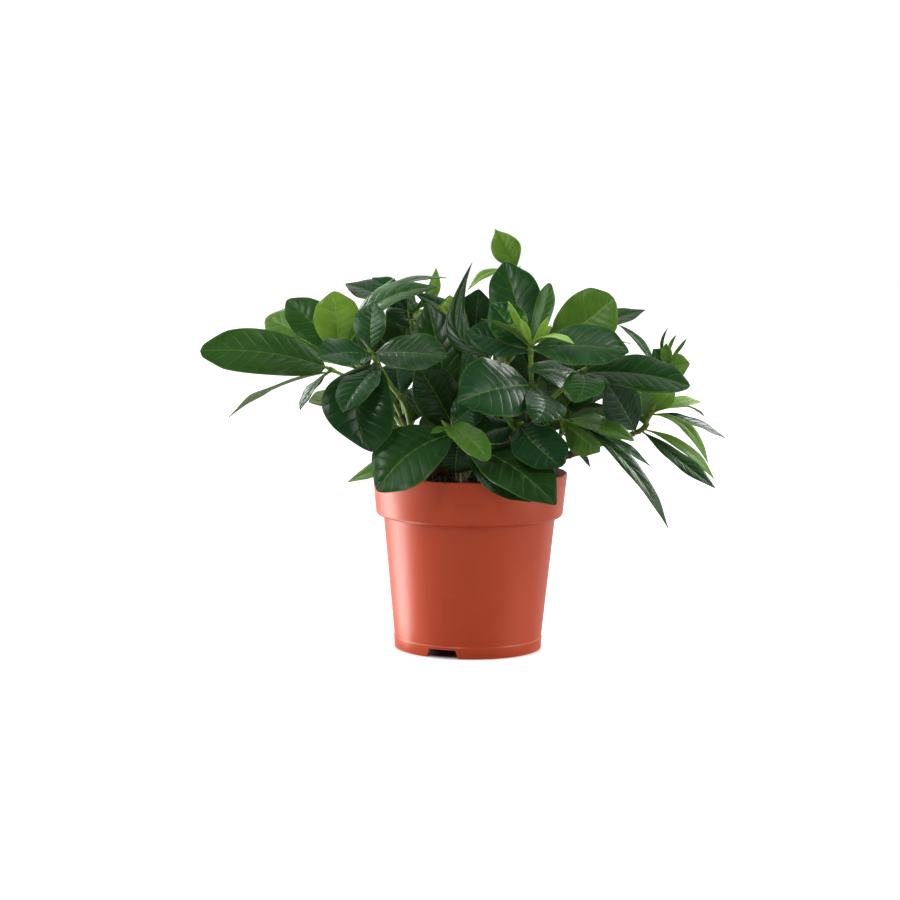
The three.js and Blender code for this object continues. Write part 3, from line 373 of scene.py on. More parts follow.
def ruleLeaves(shoot):
    rule = shoot["rule"]
    rows = []
    for k in range(rule["pairs"]):
        up = k / (rule["pairs"] - 1)
        share = mixed(pairRule["shares"], up)
        way = directionAt(shoot["line"], onShoot(shoot, share))
        level = unit(np.cross(way, at(0, 0, 1)))
        upright = np.cross(level, way)
        for half in (0, 180):
            around = math.radians(rule["turn"] + 90 * k + half + draw(*pairRule["jitterTurn"]))
            opening = mixed(pairRule["spread"], up)
            angle = math.radians(opening + draw(*pairRule["jitter"]))
            size = 1 - pairRule["shrink"] * up * up
            out = level * math.cos(around) + upright * math.sin(around)
            rows.append({"share": share, "way": way, "out": out, "angle": angle,
                         "length": draw(*rule["length"]) * size,
                         "wide": draw(*rule["wide"]) * size,
                         "bow": draw(*pairRule["bow"]),
                         "age": pairRule["oldest"] + rule["young"] * up ** 3 + draw(*pairRule["ages"]),
                         "arc": draw(*pairRule["arc"]),
                         "fold": pairRule["fold"], "full": pairRule["full"]})
    return rows


# The other places that a leaf may take, the wanted one first.
depthTries = (0, 5, -5, 10, -10, 15, -15, 20, -20, 26, -26, 32, -32, 40, -40)
sizeTries = (1, 0.85, 0.7)
pitchTries = (0, 14, -14, 28)
turnTries = (0, 16, -16, 32, -32)


def placesFor(row, foot):
    if "tip" in row:
        line = row["tip"] - eye
        for depth in depthTries:
            yield row["tip"] + line * depth / line[1], row
        return
    side = np.cross(row["way"], row["out"])
    for size in sizeTries:
        for pitch in pitchTries:
            for turn in turnTries:
                out = row["out"] * math.cos(math.radians(turn)) + side * math.sin(math.radians(turn))
                angle = row["angle"] - math.radians(pitch)
                along = row["way"] * math.cos(angle) + out * math.sin(angle)
                toward = row["way"] * math.sin(angle) - out * math.cos(angle)
                wide = row["wide"] * (1 + size) / 2
                yield foot + along * row["length"] * size, {**row, "toward": toward, "wide": wide}


def pointsOn(blade, start):
    # points close enough together to find what the blade would cross
    steps = max(3, math.ceil(blade["length"] / 4.5))
    columns = max(2, math.ceil(blade["row"]["wide"] / 5))
    t = start + (1 - start) * np.arange(steps + 1) / steps
    u = -1 + 2 * np.arange(columns + 1) / columns
    t, u = np.meshgrid(t, u, indexing="ij")
    return spots(blade, t.ravel(), u.ravel())


def insideCrown(points):
    px, py = pixelsOf(points)
    hit = np.zeros(len(points), bool)
    for (x1, y1), (x2, y2) in zip(crown, crown[1:] + crown[:1]):
        if y1 != y2:
            hit ^= ((y1 > py) != (y2 > py)) & (px < (x2 - x1) * (py - y1) / (y2 - y1) + x1)
    x, y, z = points.T
    return (hit & (z >= crownBox["low"]) & (np.abs(x) <= crownBox["side"]) & (y <= crownBox["back"])).all()


def clearOfPot(points):
    past = np.hypot(points[:, 0], points[:, 1]) - potRoom["rim"]
    inSoil = (points[:, 2] < potRoom["soilTop"]) & (past < -potRoom["soilIn"])
    inRim = (points[:, 2] < potRoom["rimTop"]) & (past > -potRoom["in"]) & (past < potRoom["out"])
    return not (inSoil | inRim).any()


# The distances that blades keep: from another shoot's blade, from their own shoot's, from stems.
keep = {"other": 3.6, "own": 2.2, "stem": 2.4, "wood": 2}


def apart(first, second):
    return np.sqrt(((first[:, None] - second[None]) ** 2).sum(-1))


def tubePoints(path, radius):
    return np.array([curvePoint(path, i / 30) for i in range(31)]), np.linspace(*radius, 31)


def nearTube(points, tube, distance):
    places, radius = tube
    return (apart(points, places) < radius + distance).any()


def crossing(mine, other):
    if np.linalg.norm(other["centre"] - mine["centre"]) > mine["radius"] + other["radius"] + keep["other"]:
        return False
    if other["shoot"] is mine["shoot"]:
        return (apart(mine["outer"], other["outer"]) < keep["own"]).any()
    return (apart(mine["points"], other["points"]) < keep["other"]).any()


def settle():
    # each leaf takes the first place that is clear of all that stands already
    woodTubes = [tubePoints(wood["path"], wood["radius"]) for wood in woods.values()]
    shootTubes = [tubePoints(shoot["line"], shoot["radius"]) for shoot in shoots]
    placed = []
    for shoot in shoots:
        for row in shoot["leaves"] if "leaves" in shoot else ruleLeaves(shoot):
            foot = curvePoint(shoot["line"], onShoot(shoot, row["share"]))
            for tip, placedRow in placesFor(row, foot):
                blade = bladeOf(foot, tip, placedRow)
                points = pointsOn(blade, 0.12)
                if not clearOfPot(points) or not ("tip" in row or insideCrown(pointsOn(blade, 0))):
                    continue
                outer = points[len(points) // 4:]
                centre = points.mean(0)
                mine = {"shoot": shoot, "blade": blade, "points": points, "outer": outer,
                        "centre": centre, "radius": np.linalg.norm(points - centre, axis=1).max()}
                if any(crossing(mine, other) for other in placed):
                    continue
                if any(nearTube(points[len(points) // 6:], tube, keep["wood"]) for tube in woodTubes):
                    continue
                if any(nearTube(outer if other is shoot else points, tube, keep["stem"])
                       for other, tube in zip(shoots, shootTubes)):
                    continue
                placed.append(mine)
                break
    return placed


leaves = settle()
print("foliage settled:", len(leaves), "leaves on", len(shoots), "shoots")


def addNode(tree, kind, inputs=(), **settings):
    # one shader node: each input is a number, a colour or the socket that it comes from
    node = tree.nodes.new("ShaderNode" + kind)
    for name, value in settings.items():
        setattr(node, name, value)
    for name, value in dict(inputs).items():
        if isinstance(value, bpy.types.NodeSocket):
            tree.links.new(value, node.inputs[name])
        else:
            node.inputs[name].default_value = value
    return node.outputs


def calc(tree, operation, *values):
    return addNode(tree, "Math", enumerate(values), operation=operation)[0]


def vectorCalc(tree, operation, *values):
    return addNode(tree, "VectorMath", enumerate(values), operation=operation)


def fade(tree, value, low, high, start=0.0, end=1.0):
    # a smooth step: start up to low, end from high on
    inputs = {"Value": value, "From Min": low, "From Max": high, "To Min": start, "To Max": end}
    return addNode(tree, "MapRange", inputs, interpolation_type="SMOOTHSTEP")["Result"]


def blend(tree, share, first, second):
    return addNode(tree, "Mix", {"Factor": share, "A": first, "B": second}, data_type="RGBA")["Result"]


def colourRamp(tree, value, *stops):
    colour = addNode(tree, "ValToRGB", {"Fac": value})["Color"]
    ramp = colour.node.color_ramp.elements
    while len(ramp) < len(stops):
        ramp.new(0.5)
    for element, (place, shade) in zip(ramp, stops):
        element.position = place
        element.color = (*shade, 1)
    return colour


def onObject(tree):
    return addNode(tree, "TexCoord")["Object"]


def noiseOn(tree, scale, detail=3.0, stretch=(1, 1, 1)):
    # noise on the object's own coordinates
    place = addNode(tree, "Mapping", {"Vector": onObject(tree), "Scale": stretch})["Vector"]
    return addNode(tree, "TexNoise", {"Vector": place, "Scale": scale, "Detail": detail})["Fac"]


def attribute(tree, name):
    return addNode(tree, "Attribute", attribute_name=name)["Fac"]


def newMaterial(name, **fixed):
    material = bpy.data.materials.new(name)
    material.use_nodes = True
    shader = material.node_tree.nodes["Principled BSDF"].inputs
    for socket, value in fixed.items():
        shader[socket.replace("_", " ")].default_value = value
    return material, material.node_tree


def finished(material, colour, relief, strength, depth, rough=None):
    # what varies over the surface goes into the material's shader: colour, relief and roughness
    tree = material.node_tree
    shader = tree.nodes["Principled BSDF"].inputs
    tree.links.new(colour, shader["Base Color"])
    if rough is not None:
        tree.links.new(rough, shader["Roughness"])
    bump = addNode(tree, "Bump", {"Height": relief, "Strength": strength, "Distance": depth})
    tree.links.new(bump["Normal"], shader["Normal"])
    return material


def newGroup(name, inputs, outputs):
    # a shader node group with its named inputs and outputs
    group = bpy.data.node_groups.new(name, "ShaderNodeTree")
    for way, sockets in (("INPUT", inputs), ("OUTPUT", outputs)):
        for socket, kind in sockets.items():
            group.interface.new_socket(socket, in_out=way, socket_type="NodeSocket" + kind)
    return group, group.nodes.new("NodeGroupInput").outputs, group.nodes.new("NodeGroupOutput").inputs


# What a leaf's surface looks like: side veins on each half, their slant toward the tip, the widths
# of vein and midrib as shares, where veins fade and where the painted edge light along the margin starts,
# and the fine net.
veinLook = {"count": 9, "slant": 0.17, "veinWide": 0.12, "midribWide": 0.05, "inner": (0.72, 0.97),
            "margin": (0.93, 0.985), "net": 420, "netWide": 0.12, "sharpness": 4.0}


def makeVeinGroup():
    # masks and relief of the veins on a leaf's own UV map
    look = veinLook
    masks = ("Midrib", "Veins", "Swell", "Net", "Margin")
    group, ins, outs = newGroup("leafVeins", {"Sharpness": "Float"}, dict.fromkeys(masks, "Float"))
    split = addNode(group, "SeparateXYZ", {0: addNode(group, "TexCoord")["UV"]})
    side = calc(group, "ABSOLUTE", calc(group, "MULTIPLY_ADD", split["X"], 2.0, -1.0))
    along = calc(group, "SUBTRACT", split["Y"], calc(group, "MULTIPLY", side, look["slant"]))
    phase = calc(group, "FRACT", calc(group, "MULTIPLY", along, look["count"]))
    nearness = calc(group, "ABSOLUTE", calc(group, "MULTIPLY_ADD", phase, 2.0, -1.0))  # 1 on a vein
    inner = fade(group, side, *look["inner"], 1, 0)
    vein = fade(group, nearness, 1 - look["veinWide"], 1)
    dip = calc(group, "POWER", nearness, ins["Sharpness"])
    swell = calc(group, "SQRT", calc(group, "SUBTRACT", 1.0001, dip))
    inputs = {"Vector": onObject(group), "Scale": look["net"]}
    net = addNode(group, "TexVoronoi", inputs, feature="DISTANCE_TO_EDGE")["Distance"]
    group.links.new(fade(group, side, 0.2 * look["midribWide"], look["midribWide"], 1, 0), outs["Midrib"])
    group.links.new(calc(group, "MULTIPLY", vein, inner), outs["Veins"])
    group.links.new(calc(group, "MULTIPLY", swell, inner), outs["Swell"])
    group.links.new(fade(group, net, 0, look["netWide"]), outs["Net"])
    # painted edge light: a mask that rises close to each edge of the blade
    group.links.new(fade(group, side, *look["margin"]), outs["Margin"])
    return group


def makeMottleGroup():
    # soft patches of lighter and darker colour, for every finish
    inputs = {"Colour": "Color", "Scale": "Float", "Amount": "Float"}
    group, ins, outs = newGroup("mottle", inputs, {"Colour": "Color"})
    inputs = {"Vector": onObject(group), "Scale": ins["Scale"], "Detail": 4}
    centred = calc(group, "SUBTRACT", addNode(group, "TexNoise", inputs)["Fac"], 0.5)
    gain = calc(group, "MULTIPLY_ADD", centred, calc(group, "MULTIPLY", ins["Amount"], 4.0), 1.0)
    scaled = addNode(group, "VectorMath", {0: ins["Colour"], "Scale": gain}, operation="SCALE")
    group.links.new(scaled[0], outs["Colour"])
    return group


veinGroup = makeVeinGroup()
mottleGroup = makeMottleGroup()


def mottled(tree, colour, scale, amount):
    colour = (*colour, 1) if isinstance(colour, tuple) else colour
    inputs = {"Colour": colour, "Scale": scale, "Amount": amount}
    return addNode(tree, "Group", inputs, node_tree=mottleGroup)["Colour"]


# The colours of the upper face from old to young, of the lower face, and of the veins.
leafColours = {
    "upper": [(0, (0.009, 0.030, 0.006)), (0.15, (0.019, 0.066, 0.010)), (0.3, (0.038, 0.120, 0.017)),
              (0.6, (0.090, 0.210, 0.024)), (0.8, (0.150, 0.310, 0.032)), (1, (0.340, 0.570, 0.070))],
    "lower": [(0, (0.070, 0.125, 0.040)), (0.5, (0.120, 0.220, 0.045)), (1, (0.240, 0.400, 0.060))],
    "vein": [(0, (0.050, 0.125, 0.020)), (0.4, (0.110, 0.240, 0.030)), (1, (0.380, 0.580, 0.120))],
    "blueGreen": (0.014, 0.086, 0.034, 1),
}
# How leaves shine, how thin they are to light, and how much their veins and the painted edge light along
# their margins show.
leafFinish = {"gloss": 0.16, "uneven": 0.16, "matt": 0.55, "thin": 0.3, "through": (0.6, 1.0, 0.15),
              "depth": 0.0008, "veins": 0.34, "margin": 0.6, "veinsBelow": 0.2}


def leafMaterial(name, gloss, **fixed):
    look = leafFinish
    material, tree = newMaterial(name, Specular_IOR_Level=gloss, Subsurface_Weight=look["thin"],
                                 Subsurface_Radius=look["through"], Subsurface_Scale=look["depth"], **fixed)
    age = attribute(tree, "age")
    veins = addNode(tree, "Group", {"Sharpness": veinLook["sharpness"]}, node_tree=veinGroup)
    return material, tree, age, veins, colourRamp(tree, age, *leafColours["vein"])


def makeLeafUpper():
    look = leafFinish
    material, tree, age, veins, veinColour = leafMaterial("leafUpper", 0.26)
    uneven = calc(tree, "MULTIPLY", calc(tree, "SUBTRACT", noiseOn(tree, 28), 0.5), look["uneven"])
    base = colourRamp(tree, calc(tree, "ADD", age, uneven), *leafColours["upper"])
    bluish = calc(tree, "MULTIPLY", attribute(tree, "tone"), fade(tree, age, 0.25, 0.6, 0.5, 0))
    base = mottled(tree, blend(tree, bluish, base, leafColours["blueGreen"]), 160, 0.14)
    lines = calc(tree, "MAXIMUM", calc(tree, "MULTIPLY", veins["Veins"], look["veins"]), veins["Midrib"])
    # painted edge light: the margin is blended toward the pale vein colour as a thin lit rim
    lines = calc(tree, "MAXIMUM", calc(tree, "MULTIPLY", veins["Margin"], look["margin"]), lines)
    rough = calc(tree, "MULTIPLY_ADD", noiseOn(tree, 60), 0.16, look["gloss"])
    relief = calc(tree, "MULTIPLY_ADD", veins["Net"], 0.06, veins["Swell"])
    relief = calc(tree, "SUBTRACT", relief, calc(tree, "MULTIPLY", veins["Midrib"], 0.6))
    return finished(material, blend(tree, lines, base, veinColour), relief, 0.5, 0.0004,
                    calc(tree, "MULTIPLY_ADD", age, 0.12, rough))


def makeLeafLower():
    look = leafFinish
    material, tree, age, veins, veinColour = leafMaterial("leafLower", 0.3, Roughness=look["matt"])
    base = mottled(tree, colourRamp(tree, age, *leafColours["lower"]), 90, 0.1)
    lines = calc(tree, "MULTIPLY", veins["Veins"], look["veinsBelow"])
    lines = calc(tree, "MAXIMUM", lines, veins["Midrib"])
    relief = calc(tree, "SUBTRACT", calc(tree, "MULTIPLY", veins["Midrib"], 0.8), veins["Swell"])
    return finished(material, blend(tree, lines, base, veinColour), relief, 0.5, 0.0005)


def makeShootGreen():
    material, tree = newMaterial("shootGreen", Roughness=0.42, Specular_IOR_Level=0.4)
    base = colourRamp(tree, attribute(tree, "age"), (0, (0.090, 0.105, 0.026)),
                      (0.5, (0.130, 0.230, 0.030)), (1, (0.280, 0.460, 0.055)))
    return finished(material, mottled(tree, base, 300, 0.2), noiseOn(tree, 500, 2.0), 0.25, 0.0003)


def makePapery():
    material, tree = newMaterial("papery", Roughness=0.7, Specular_IOR_Level=0.3)
    base = colourRamp(tree, noiseOn(tree, 220),
                      (0.35, (0.150, 0.170, 0.040)), (0.65, (0.200, 0.300, 0.060)))
    return finished(material, base, noiseOn(tree, 900), 0.4, 0.0002)


def makeBark():
    material, tree = newMaterial("bark", Roughness=0.8, Specular_IOR_Level=0.3)
    patches = noiseOn(tree, 180, 5.0, (1, 1, 0.45))
    base = colourRamp(tree, patches, (0.3, (0.060, 0.042, 0.026)), (0.5, (0.150, 0.108, 0.065)),
                      (0.72, (0.300, 0.235, 0.150)))
    cracks = calc(tree, "ADD", noiseOn(tree, 900, 4.0, (1, 1, 0.3)), patches)
    return finished(material, mottled(tree, base, 60, 0.25), cracks, 0.6, 0.0006)


def asMaterial(faces, index):
    for face in faces:
        face.material_index = index
        face.smooth = True


def facesOf(verts):
    return list(dict.fromkeys(face for vert in verts for face in vert.link_faces))


def turned(profile, steps):
    # a closed shape turned round the pot's axis from its radii and heights
    bm = bmesh.new()
    corners = [bm.verts.new((radius, 0, height)) for radius, height in profile]
    for first, second in zip(corners, corners[1:]):
        bm.edges.new((first, second))
    bmesh.ops.spin(bm, geom=bm.verts[:] + bm.edges[:], cent=(0, 0, 0), axis=(0, 0, 1),
                   angle=2 * math.pi, steps=steps, use_merge=True)
    bmesh.ops.remove_doubles(bm, verts=bm.verts, dist=0.001)
    bmesh.ops.recalc_face_normals(bm, faces=bm.faces)
    return bm


def newObject(name, bm):
    mesh = bpy.data.meshes.new(name)
    bm.to_mesh(mesh)
    bm.free()
    made = bpy.data.objects.new(name, mesh)
    bpy.context.collection.objects.link(made)
    return made


def addPiece(name, bm, materials, slot, *nodes):
    # one finished mesh in metres that stands for its CAD pieces
    bmesh.ops.scale(bm, vec=(mm, mm, mm), verts=bm.verts)
    piece = newObject(name, bm)
    for material in materials:
        piece.data.materials.append(material)
    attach(piece, "root")
    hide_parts(*nodes)
    return piece


def addTubes(bm, paths, index, sides):
    # round tubes along points with a radius at each, with closed ends, as one material of the piece
    curve = bpy.data.curves.new("tubes", "CURVE")
    curve.dimensions = "3D"
    curve.bevel_depth = 1
    curve.bevel_resolution = sides // 2 - 2
    curve.use_fill_caps = True
    for points, radii in paths:
        spline = curve.splines.new("POLY")
        spline.points.add(len(points) - 1)
        for spot, point, radius in zip(spline.points, points, radii):
            spot.co = (*point, 1)
            spot.radius = radius
    holder = bpy.data.objects.new("tubes", curve)
    mesh = bpy.data.meshes.new_from_object(holder)
    firstFace = len(bm.faces)
    firstVert = len(bm.verts)
    bm.from_mesh(mesh)
    bm.faces.ensure_lookup_table()
    asMaterial(bm.faces[firstFace:], index)
    bpy.data.objects.remove(holder)
    bpy.data.curves.remove(curve)
    bpy.data.meshes.remove(mesh)
    bm.verts.ensure_lookup_table()
    return bm.verts[firstVert:]


# The pot: a lip band, a tapering body, a skirt with notches under the bottom plate, drain holes.
potSizes = {
    "height": 118, "wall": 1.3, "steps": 160,
    "lipTop": 65, "lipLow": 62.3, "lipFoot": 90.5, "rim": 0.4, "lipStep": 1.2,
    "bodyTop": 57.3, "bodyHigh": 88.2, "bodyLow": 49.6, "seamOut": (0.7, -0.2), "seamIn": (-0.3, 0.5),
    "foot": 49, "plateTop": 7.5, "plate": 1.5, "skirt": 1.6,
    "notches": 3, "notchTurn": -20.5, "notchLow": 25.5, "notchTop": 18, "notchHigh": 5.7, "notchDeep": 12,
    "drains": 6, "drainRadius": 4, "drainCircle": 30, "drainSides": 32,
    "round": 0.55, "roundFrom": 28, "sharpFrom": 40,
}


def potProfile():
    size = potSizes
    wall = size["wall"]
    plateTop = size["plateTop"]
    plateLow = plateTop - size["plate"]
    inFoot = size["foot"] - size["skirt"]
    lipLow = size["lipLow"]
    return [
        (0, plateLow), (inFoot, plateLow), (inFoot, 0), (size["foot"], 0),
        (size["foot"] + size["seamOut"][0], plateTop + size["seamOut"][1]),
        (size["bodyLow"] + size["seamIn"][0], plateTop + size["seamIn"][1]),
        (size["bodyTop"], size["bodyHigh"]),
        (lipLow - size["lipStep"], size["lipFoot"] - size["lipStep"]),
        (lipLow, size["lipFoot"]),
        (size["lipTop"], size["height"] - size["rim"]),
        (size["lipTop"] - size["rim"], size["height"]),
        (size["lipTop"] - wall, size["height"]),
        (lipLow - wall, size["lipFoot"] + wall),
        (size["bodyTop"] - wall, size["bodyHigh"] + wall),
        (size["bodyLow"] - wall, plateTop), (0, plateTop),
    ]


def potCutters():
    # the notches in the skirt and the drain holes, as one tool
    size = potSizes
    bm = bmesh.new()
    for i in range(size["notches"]):
        made = bmesh.ops.create_cube(bm, size=1)["verts"]
        across = (size["notchLow"], size["notchDeep"], 2 * size["notchHigh"])
        bmesh.ops.scale(bm, vec=across, verts=made)
        for vert in made:
            if vert.co.z > 0:
                vert.co.x *= size["notchTop"] / size["notchLow"]
        turn = Matrix.Rotation(math.radians(size["notchTurn"] + 360 * i / size["notches"]), 4, "Z")
        bmesh.ops.transform(bm, matrix=turn @ Matrix.Translation((0, -size["foot"], 0)), verts=made)
    for i in range(size["drains"]):
        made = bmesh.ops.create_cone(bm, cap_ends=True, segments=size["drainSides"],
                                     radius1=size["drainRadius"], radius2=size["drainRadius"],
                                     depth=3 * size["plate"])["verts"]
        middle = Matrix.Translation((size["drainCircle"], 0, size["plateTop"] - size["plate"] / 2))
        turn = Matrix.Rotation(2 * math.pi * i / size["drains"], 4, "Z")
        bmesh.ops.transform(bm, matrix=turn @ middle, verts=made)
    bmesh.ops.scale(bm, vec=(mm, mm, mm), verts=bm.verts)
    return newObject("cutters", bm)


def makePot():
    size = potSizes
    bm = turned(potProfile(), size["steps"])
    pot = addPiece("nursery_pot", bm, [makePotPlastic()], "pot_plastic", "pot")
    tool = potCutters()
    cut = pot.modifiers.new("cut", "BOOLEAN")
    cut.object = tool
    cut.operation = "DIFFERENCE"
    rounding = pot.modifiers.new("rounding", "BEVEL")
    rounding.width = size["round"] * mm
    rounding.segments = 3
    rounding.angle_limit = math.radians(size["roundFrom"])
    bpy.context.view_layer.update()
    mesh = bpy.data.meshes.new_from_object(pot.evaluated_get(bpy.context.evaluated_depsgraph_get()))
    pot.modifiers.clear()
    pot.data = mesh
    pot.data.name = "nursery_pot"
    bpy.data.objects.remove(tool)
    mesh.shade_smooth()
    mesh.set_sharp_from_angle(angle=math.radians(size["sharpFrom"]))


# Painted shade darkens the inside of the lip: how far in from the slanting outside, and above.
lipShade = {"slant": 0.0982, "full": 0.05225, "none": 0.0529, "low": 0.103, "high": 0.106, "share": 0.8}


def shadeInsideLip(tree):
    # the mask of painted shade over the inside of the lip
    split = addNode(tree, "SeparateXYZ", {0: onObject(tree)})
    squares = calc(tree, "MULTIPLY", split["Y"], split["Y"])
    squares = calc(tree, "MULTIPLY_ADD", split["X"], split["X"], squares)
    out = calc(tree, "MULTIPLY_ADD", split["Z"], -lipShade["slant"], calc(tree, "SQRT", squares))
    inner = fade(tree, out, lipShade["full"], lipShade["none"], lipShade["share"], 0)
    return calc(tree, "MULTIPLY", inner, fade(tree, split["Z"], lipShade["low"], lipShade["high"]))


def makePotPlastic():
    material, tree = newMaterial("potPlastic", Specular_IOR_Level=0.5)
    base = mottled(tree, (0.565, 0.059, 0.009), 22, 0.03)
    scuffs = fade(tree, noiseOn(tree, 120, 2.0, (0.35, 0.35, 3.0)), 0.66, 0.74)
    dust = fade(tree, noiseOn(tree, 900, 2.0), 0.74, 0.8)
    base = blend(tree, calc(tree, "MULTIPLY", scuffs, 0.03), base, (0.700, 0.330, 0.240, 1))
    base = blend(tree, calc(tree, "MULTIPLY", dust, 0.12), base, (0.800, 0.520, 0.420, 1))
    # painted shade: the inside of the lip is darkened nearly to black
    base = blend(tree, shadeInsideLip(tree), base, (0.060, 0.026, 0.014, 1))
    rough = calc(tree, "MULTIPLY_ADD", noiseOn(tree, 35), 0.06, 0.34)
    rough = calc(tree, "MULTIPLY_ADD", scuffs, 0.05, rough)
    skin = calc(tree, "MULTIPLY_ADD", noiseOn(tree, 700, 2.0), 0.4, noiseOn(tree, 60, 2.0, (1, 1, 0.25)))
    return finished(material, base, skin, 0.12, 0.0006, rough)


makePot()
print("pot turned, notched and drilled")

# The potting mix: a rough top with crumbs, white grit and fine roots.
mixSizes = {"top": 108, "radius": 61.6, "low": 47.6, "bottom": 8, "waist": 55.3, "waistHigh": 88.5,
            "shoulder": 93, "shoulderIn": 1.3, "edge": 3, "rough": 1.6, "rings": 40, "steps": 128,
            "crumbs": 620, "crumb": (0.7, 2.6), "grit": 70, "gritSize": (0.6, 1.5),
            "roots": 90, "rootStep": (1, 2.6), "rootThick": (0.12, 0.28)}


def mixTop(x, y):
    # the height of the top: low lumps and hollows, and a finer roughness
    lumps = math.sin(x * 0.21 + 1.3) * math.cos(y * 0.17) + 0.6 * math.sin(x * 0.43 - y * 0.37 + 0.8)
    fine = noise.noise(Vector((x * 0.35, y * 0.35, 3))) * 1.1 + noise.noise(Vector((x, y, 9))) * 0.5
    return mixSizes["top"] + mixSizes["rough"] * lumps + fine


def spotOnMix(margin):
    distance = (mixSizes["radius"] - margin) * math.sqrt(draw(0, 1))
    turn = draw(0, 2 * math.pi)
    return distance * math.cos(turn), distance * math.sin(turn)


def scatter(bm, radius, squash):
    # one rough lump of few faces on the mix, since there are hundreds
    x, y = spotOnMix(3)
    made = bmesh.ops.create_icosphere(bm, subdivisions=1, radius=radius)["verts"]
    shift = Vector((draw(0, 90), draw(0, 90), draw(0, 90)))
    for vert in made:
        vert.co *= 1 + 0.5 * noise.noise(vert.co / radius * 1.3 + shift)
        vert.co.z *= squash
    asMaterial(facesOf(made), 0)
    spin = Matrix.Rotation(draw(0, 6), 4, "Z") @ Matrix.Rotation(draw(-0.5, 0.5), 4, "X")
    place = Matrix.Translation((x, y, mixTop(x, y) + 0.2 * radius))
    bmesh.ops.transform(bm, matrix=place @ spin, verts=made)


def rootPath():
    # a fine root that wanders over the mix and stops at the pot's wall
    size = mixSizes
    x, y = spotOnMix(4)
    place = at(x, y, 0)
    way = draw(0, 2 * math.pi)
    points = []
    for k in range(7):
        way += draw(-0.5, 0.5)
        place = place + at(math.cos(way), math.sin(way), 0) * draw(*size["rootStep"])
        if np.hypot(place[0], place[1]) > size["radius"] - 2:
            break
        points.append(at(place[0], place[1], mixTop(place[0], place[1]) + draw(0, 1.1)))
    return points


def makeMix():
    size = mixSizes
    profile = [(0, size["bottom"]), (size["low"], size["bottom"]), (size["waist"], size["waistHigh"]),
               (size["radius"] - size["shoulderIn"], size["shoulder"]),
               (size["radius"], size["top"] - size["edge"])]
    rings = size["rings"]
    profile += [((size["radius"] - 0.6) * ring / rings, size["top"]) for ring in range(rings, -1, -1)]
    bm = turned(profile, size["steps"])
    for vert in bm.verts:
        if vert.co.z > size["top"] - 0.1:
            vert.co.z = mixTop(vert.co.x, vert.co.y)
    asMaterial(bm.faces, 0)
    for i in range(size["crumbs"]):
        scatter(bm, draw(*size["crumb"]) * draw(0.6, 1), 0.6)
    addPiece("potting_mix", bm, [makePeat()], "soil", "soil")

    grit = bmesh.new()
    for i in range(size["grit"]):
        scatter(grit, draw(*size["gritSize"]), 0.5)
    addPiece("white_grit", grit, [makeGrit()], "soil", "soil")

    roots = bmesh.new()
    paths = []
    for i in range(size["roots"]):
        points = rootPath()
        if len(points) > 3:
            paths.append((points, [draw(*size["rootThick"])] * len(points)))
    addTubes(roots, paths, 0, 4)
    addPiece("fine_roots", roots, [makeRoot()], "soil", "soil")


def makePeat():
    material, tree = newMaterial("peat", Roughness=0.95, Specular_IOR_Level=0.15)
    base = colourRamp(tree, noiseOn(tree, 380, 5.0), (0.35, (0.008, 0.005, 0.003)),
                      (0.55, (0.034, 0.020, 0.012)), (0.75, (0.090, 0.055, 0.030)))
    return finished(material, mottled(tree, base, 60, 0.3), noiseOn(tree, 1400, 5.0), 0.8, 0.0008)


def makeGrit():
    material, tree = newMaterial("grit", Roughness=0.85)
    base = mottled(tree, (0.620, 0.600, 0.540), 500, 0.2)
    return finished(material, base, noiseOn(tree, 2200), 0.5, 0.0003)


def makeRoot():
    material, tree = newMaterial("root", Roughness=0.75)
    base = mottled(tree, (0.300, 0.210, 0.120), 400, 0.3)
    return finished(material, base, noiseOn(tree, 2500), 0.3, 0.0001)


makeMix()
print("potting mix filled in, with crumbs, grit and roots")

# The woody stems: sides round them, steps along them, swollen rings where old leaves stood, and
# stubs (where along the stem, how far out, how thick).
woodLook = {"sides": 14, "steps": 110, "swell": 0.22, "ringGap": 9, "ringWide": 0.8, "rough": 0.07,
            "stubs": (0.45, 0.62, 0.78), "stub": (2.2, 5.5), "stubThick": (1.3, 0.9), "skin": 0.12}


def makeWoods(bark):
    look = woodLook
    for name, wood in woods.items():
        bm = bmesh.new()
        points = []
        radii = []
        length = 0
        shift = draw(0, 50)
        for i in range(look["steps"] + 1):
            share = i / look["steps"]
            point = curvePoint(wood["path"], share)
            if points:
                length += np.linalg.norm(point - points[-1])
            ring = math.exp(-((length % look["ringGap"] - look["ringGap"] / 2) / look["ringWide"]) ** 2)
            grain = noise.noise(Vector((shift, length * 0.5, 0)))
            points.append(point)
            swollen = 1 + look["swell"] * ring + look["rough"] * grain
            radii.append(mixed(wood["radius"], share) * swollen)
        addTubes(bm, [(points, radii)], 0, look["sides"])
        stubs = []
        for share in look["stubs"]:
            base = curvePoint(wood["path"], share)
            way = directionAt(wood["path"], share)
            side = unit(np.cross(way, at(math.cos(shift + 9 * share), math.sin(shift + 9 * share), 0.3)))
            reach = wood["radius"][1] + draw(*look["stub"])
            stubs.append(([base, base + (side * 0.8 + way * 0.5) * reach], look["stubThick"]))
        addTubes(bm, stubs, 0, look["sides"])
        for vert in bm.verts:
            vert.co += vert.normal * look["skin"] * noise.noise(vert.co * 1.1)
        addPiece("woody_stem_" + name, bm, [bark], "bark", "stem_" + name)


makeWoods(makeBark())
print("woody stems grown:", len(woods))

# A leaf blade in millimetres: its thickness, faces along and across, the swelling between its side
# veins, the groove over its midrib and the waves along its edge. Small leaves have fewer faces.
bladeLook = {"thick": 0.5, "rows": 46, "columns": 14, "crowd": 0.06, "swell": 0.3,
             "groove": 0.3, "grooveWide": 1.1, "wave": 0.8, "waves": 2.4, "waveShift": 1.1,
             "ends": 0.12, "fullRelief": 11, "smallWide": 14, "smallRows": 28, "smallColumns": 8}


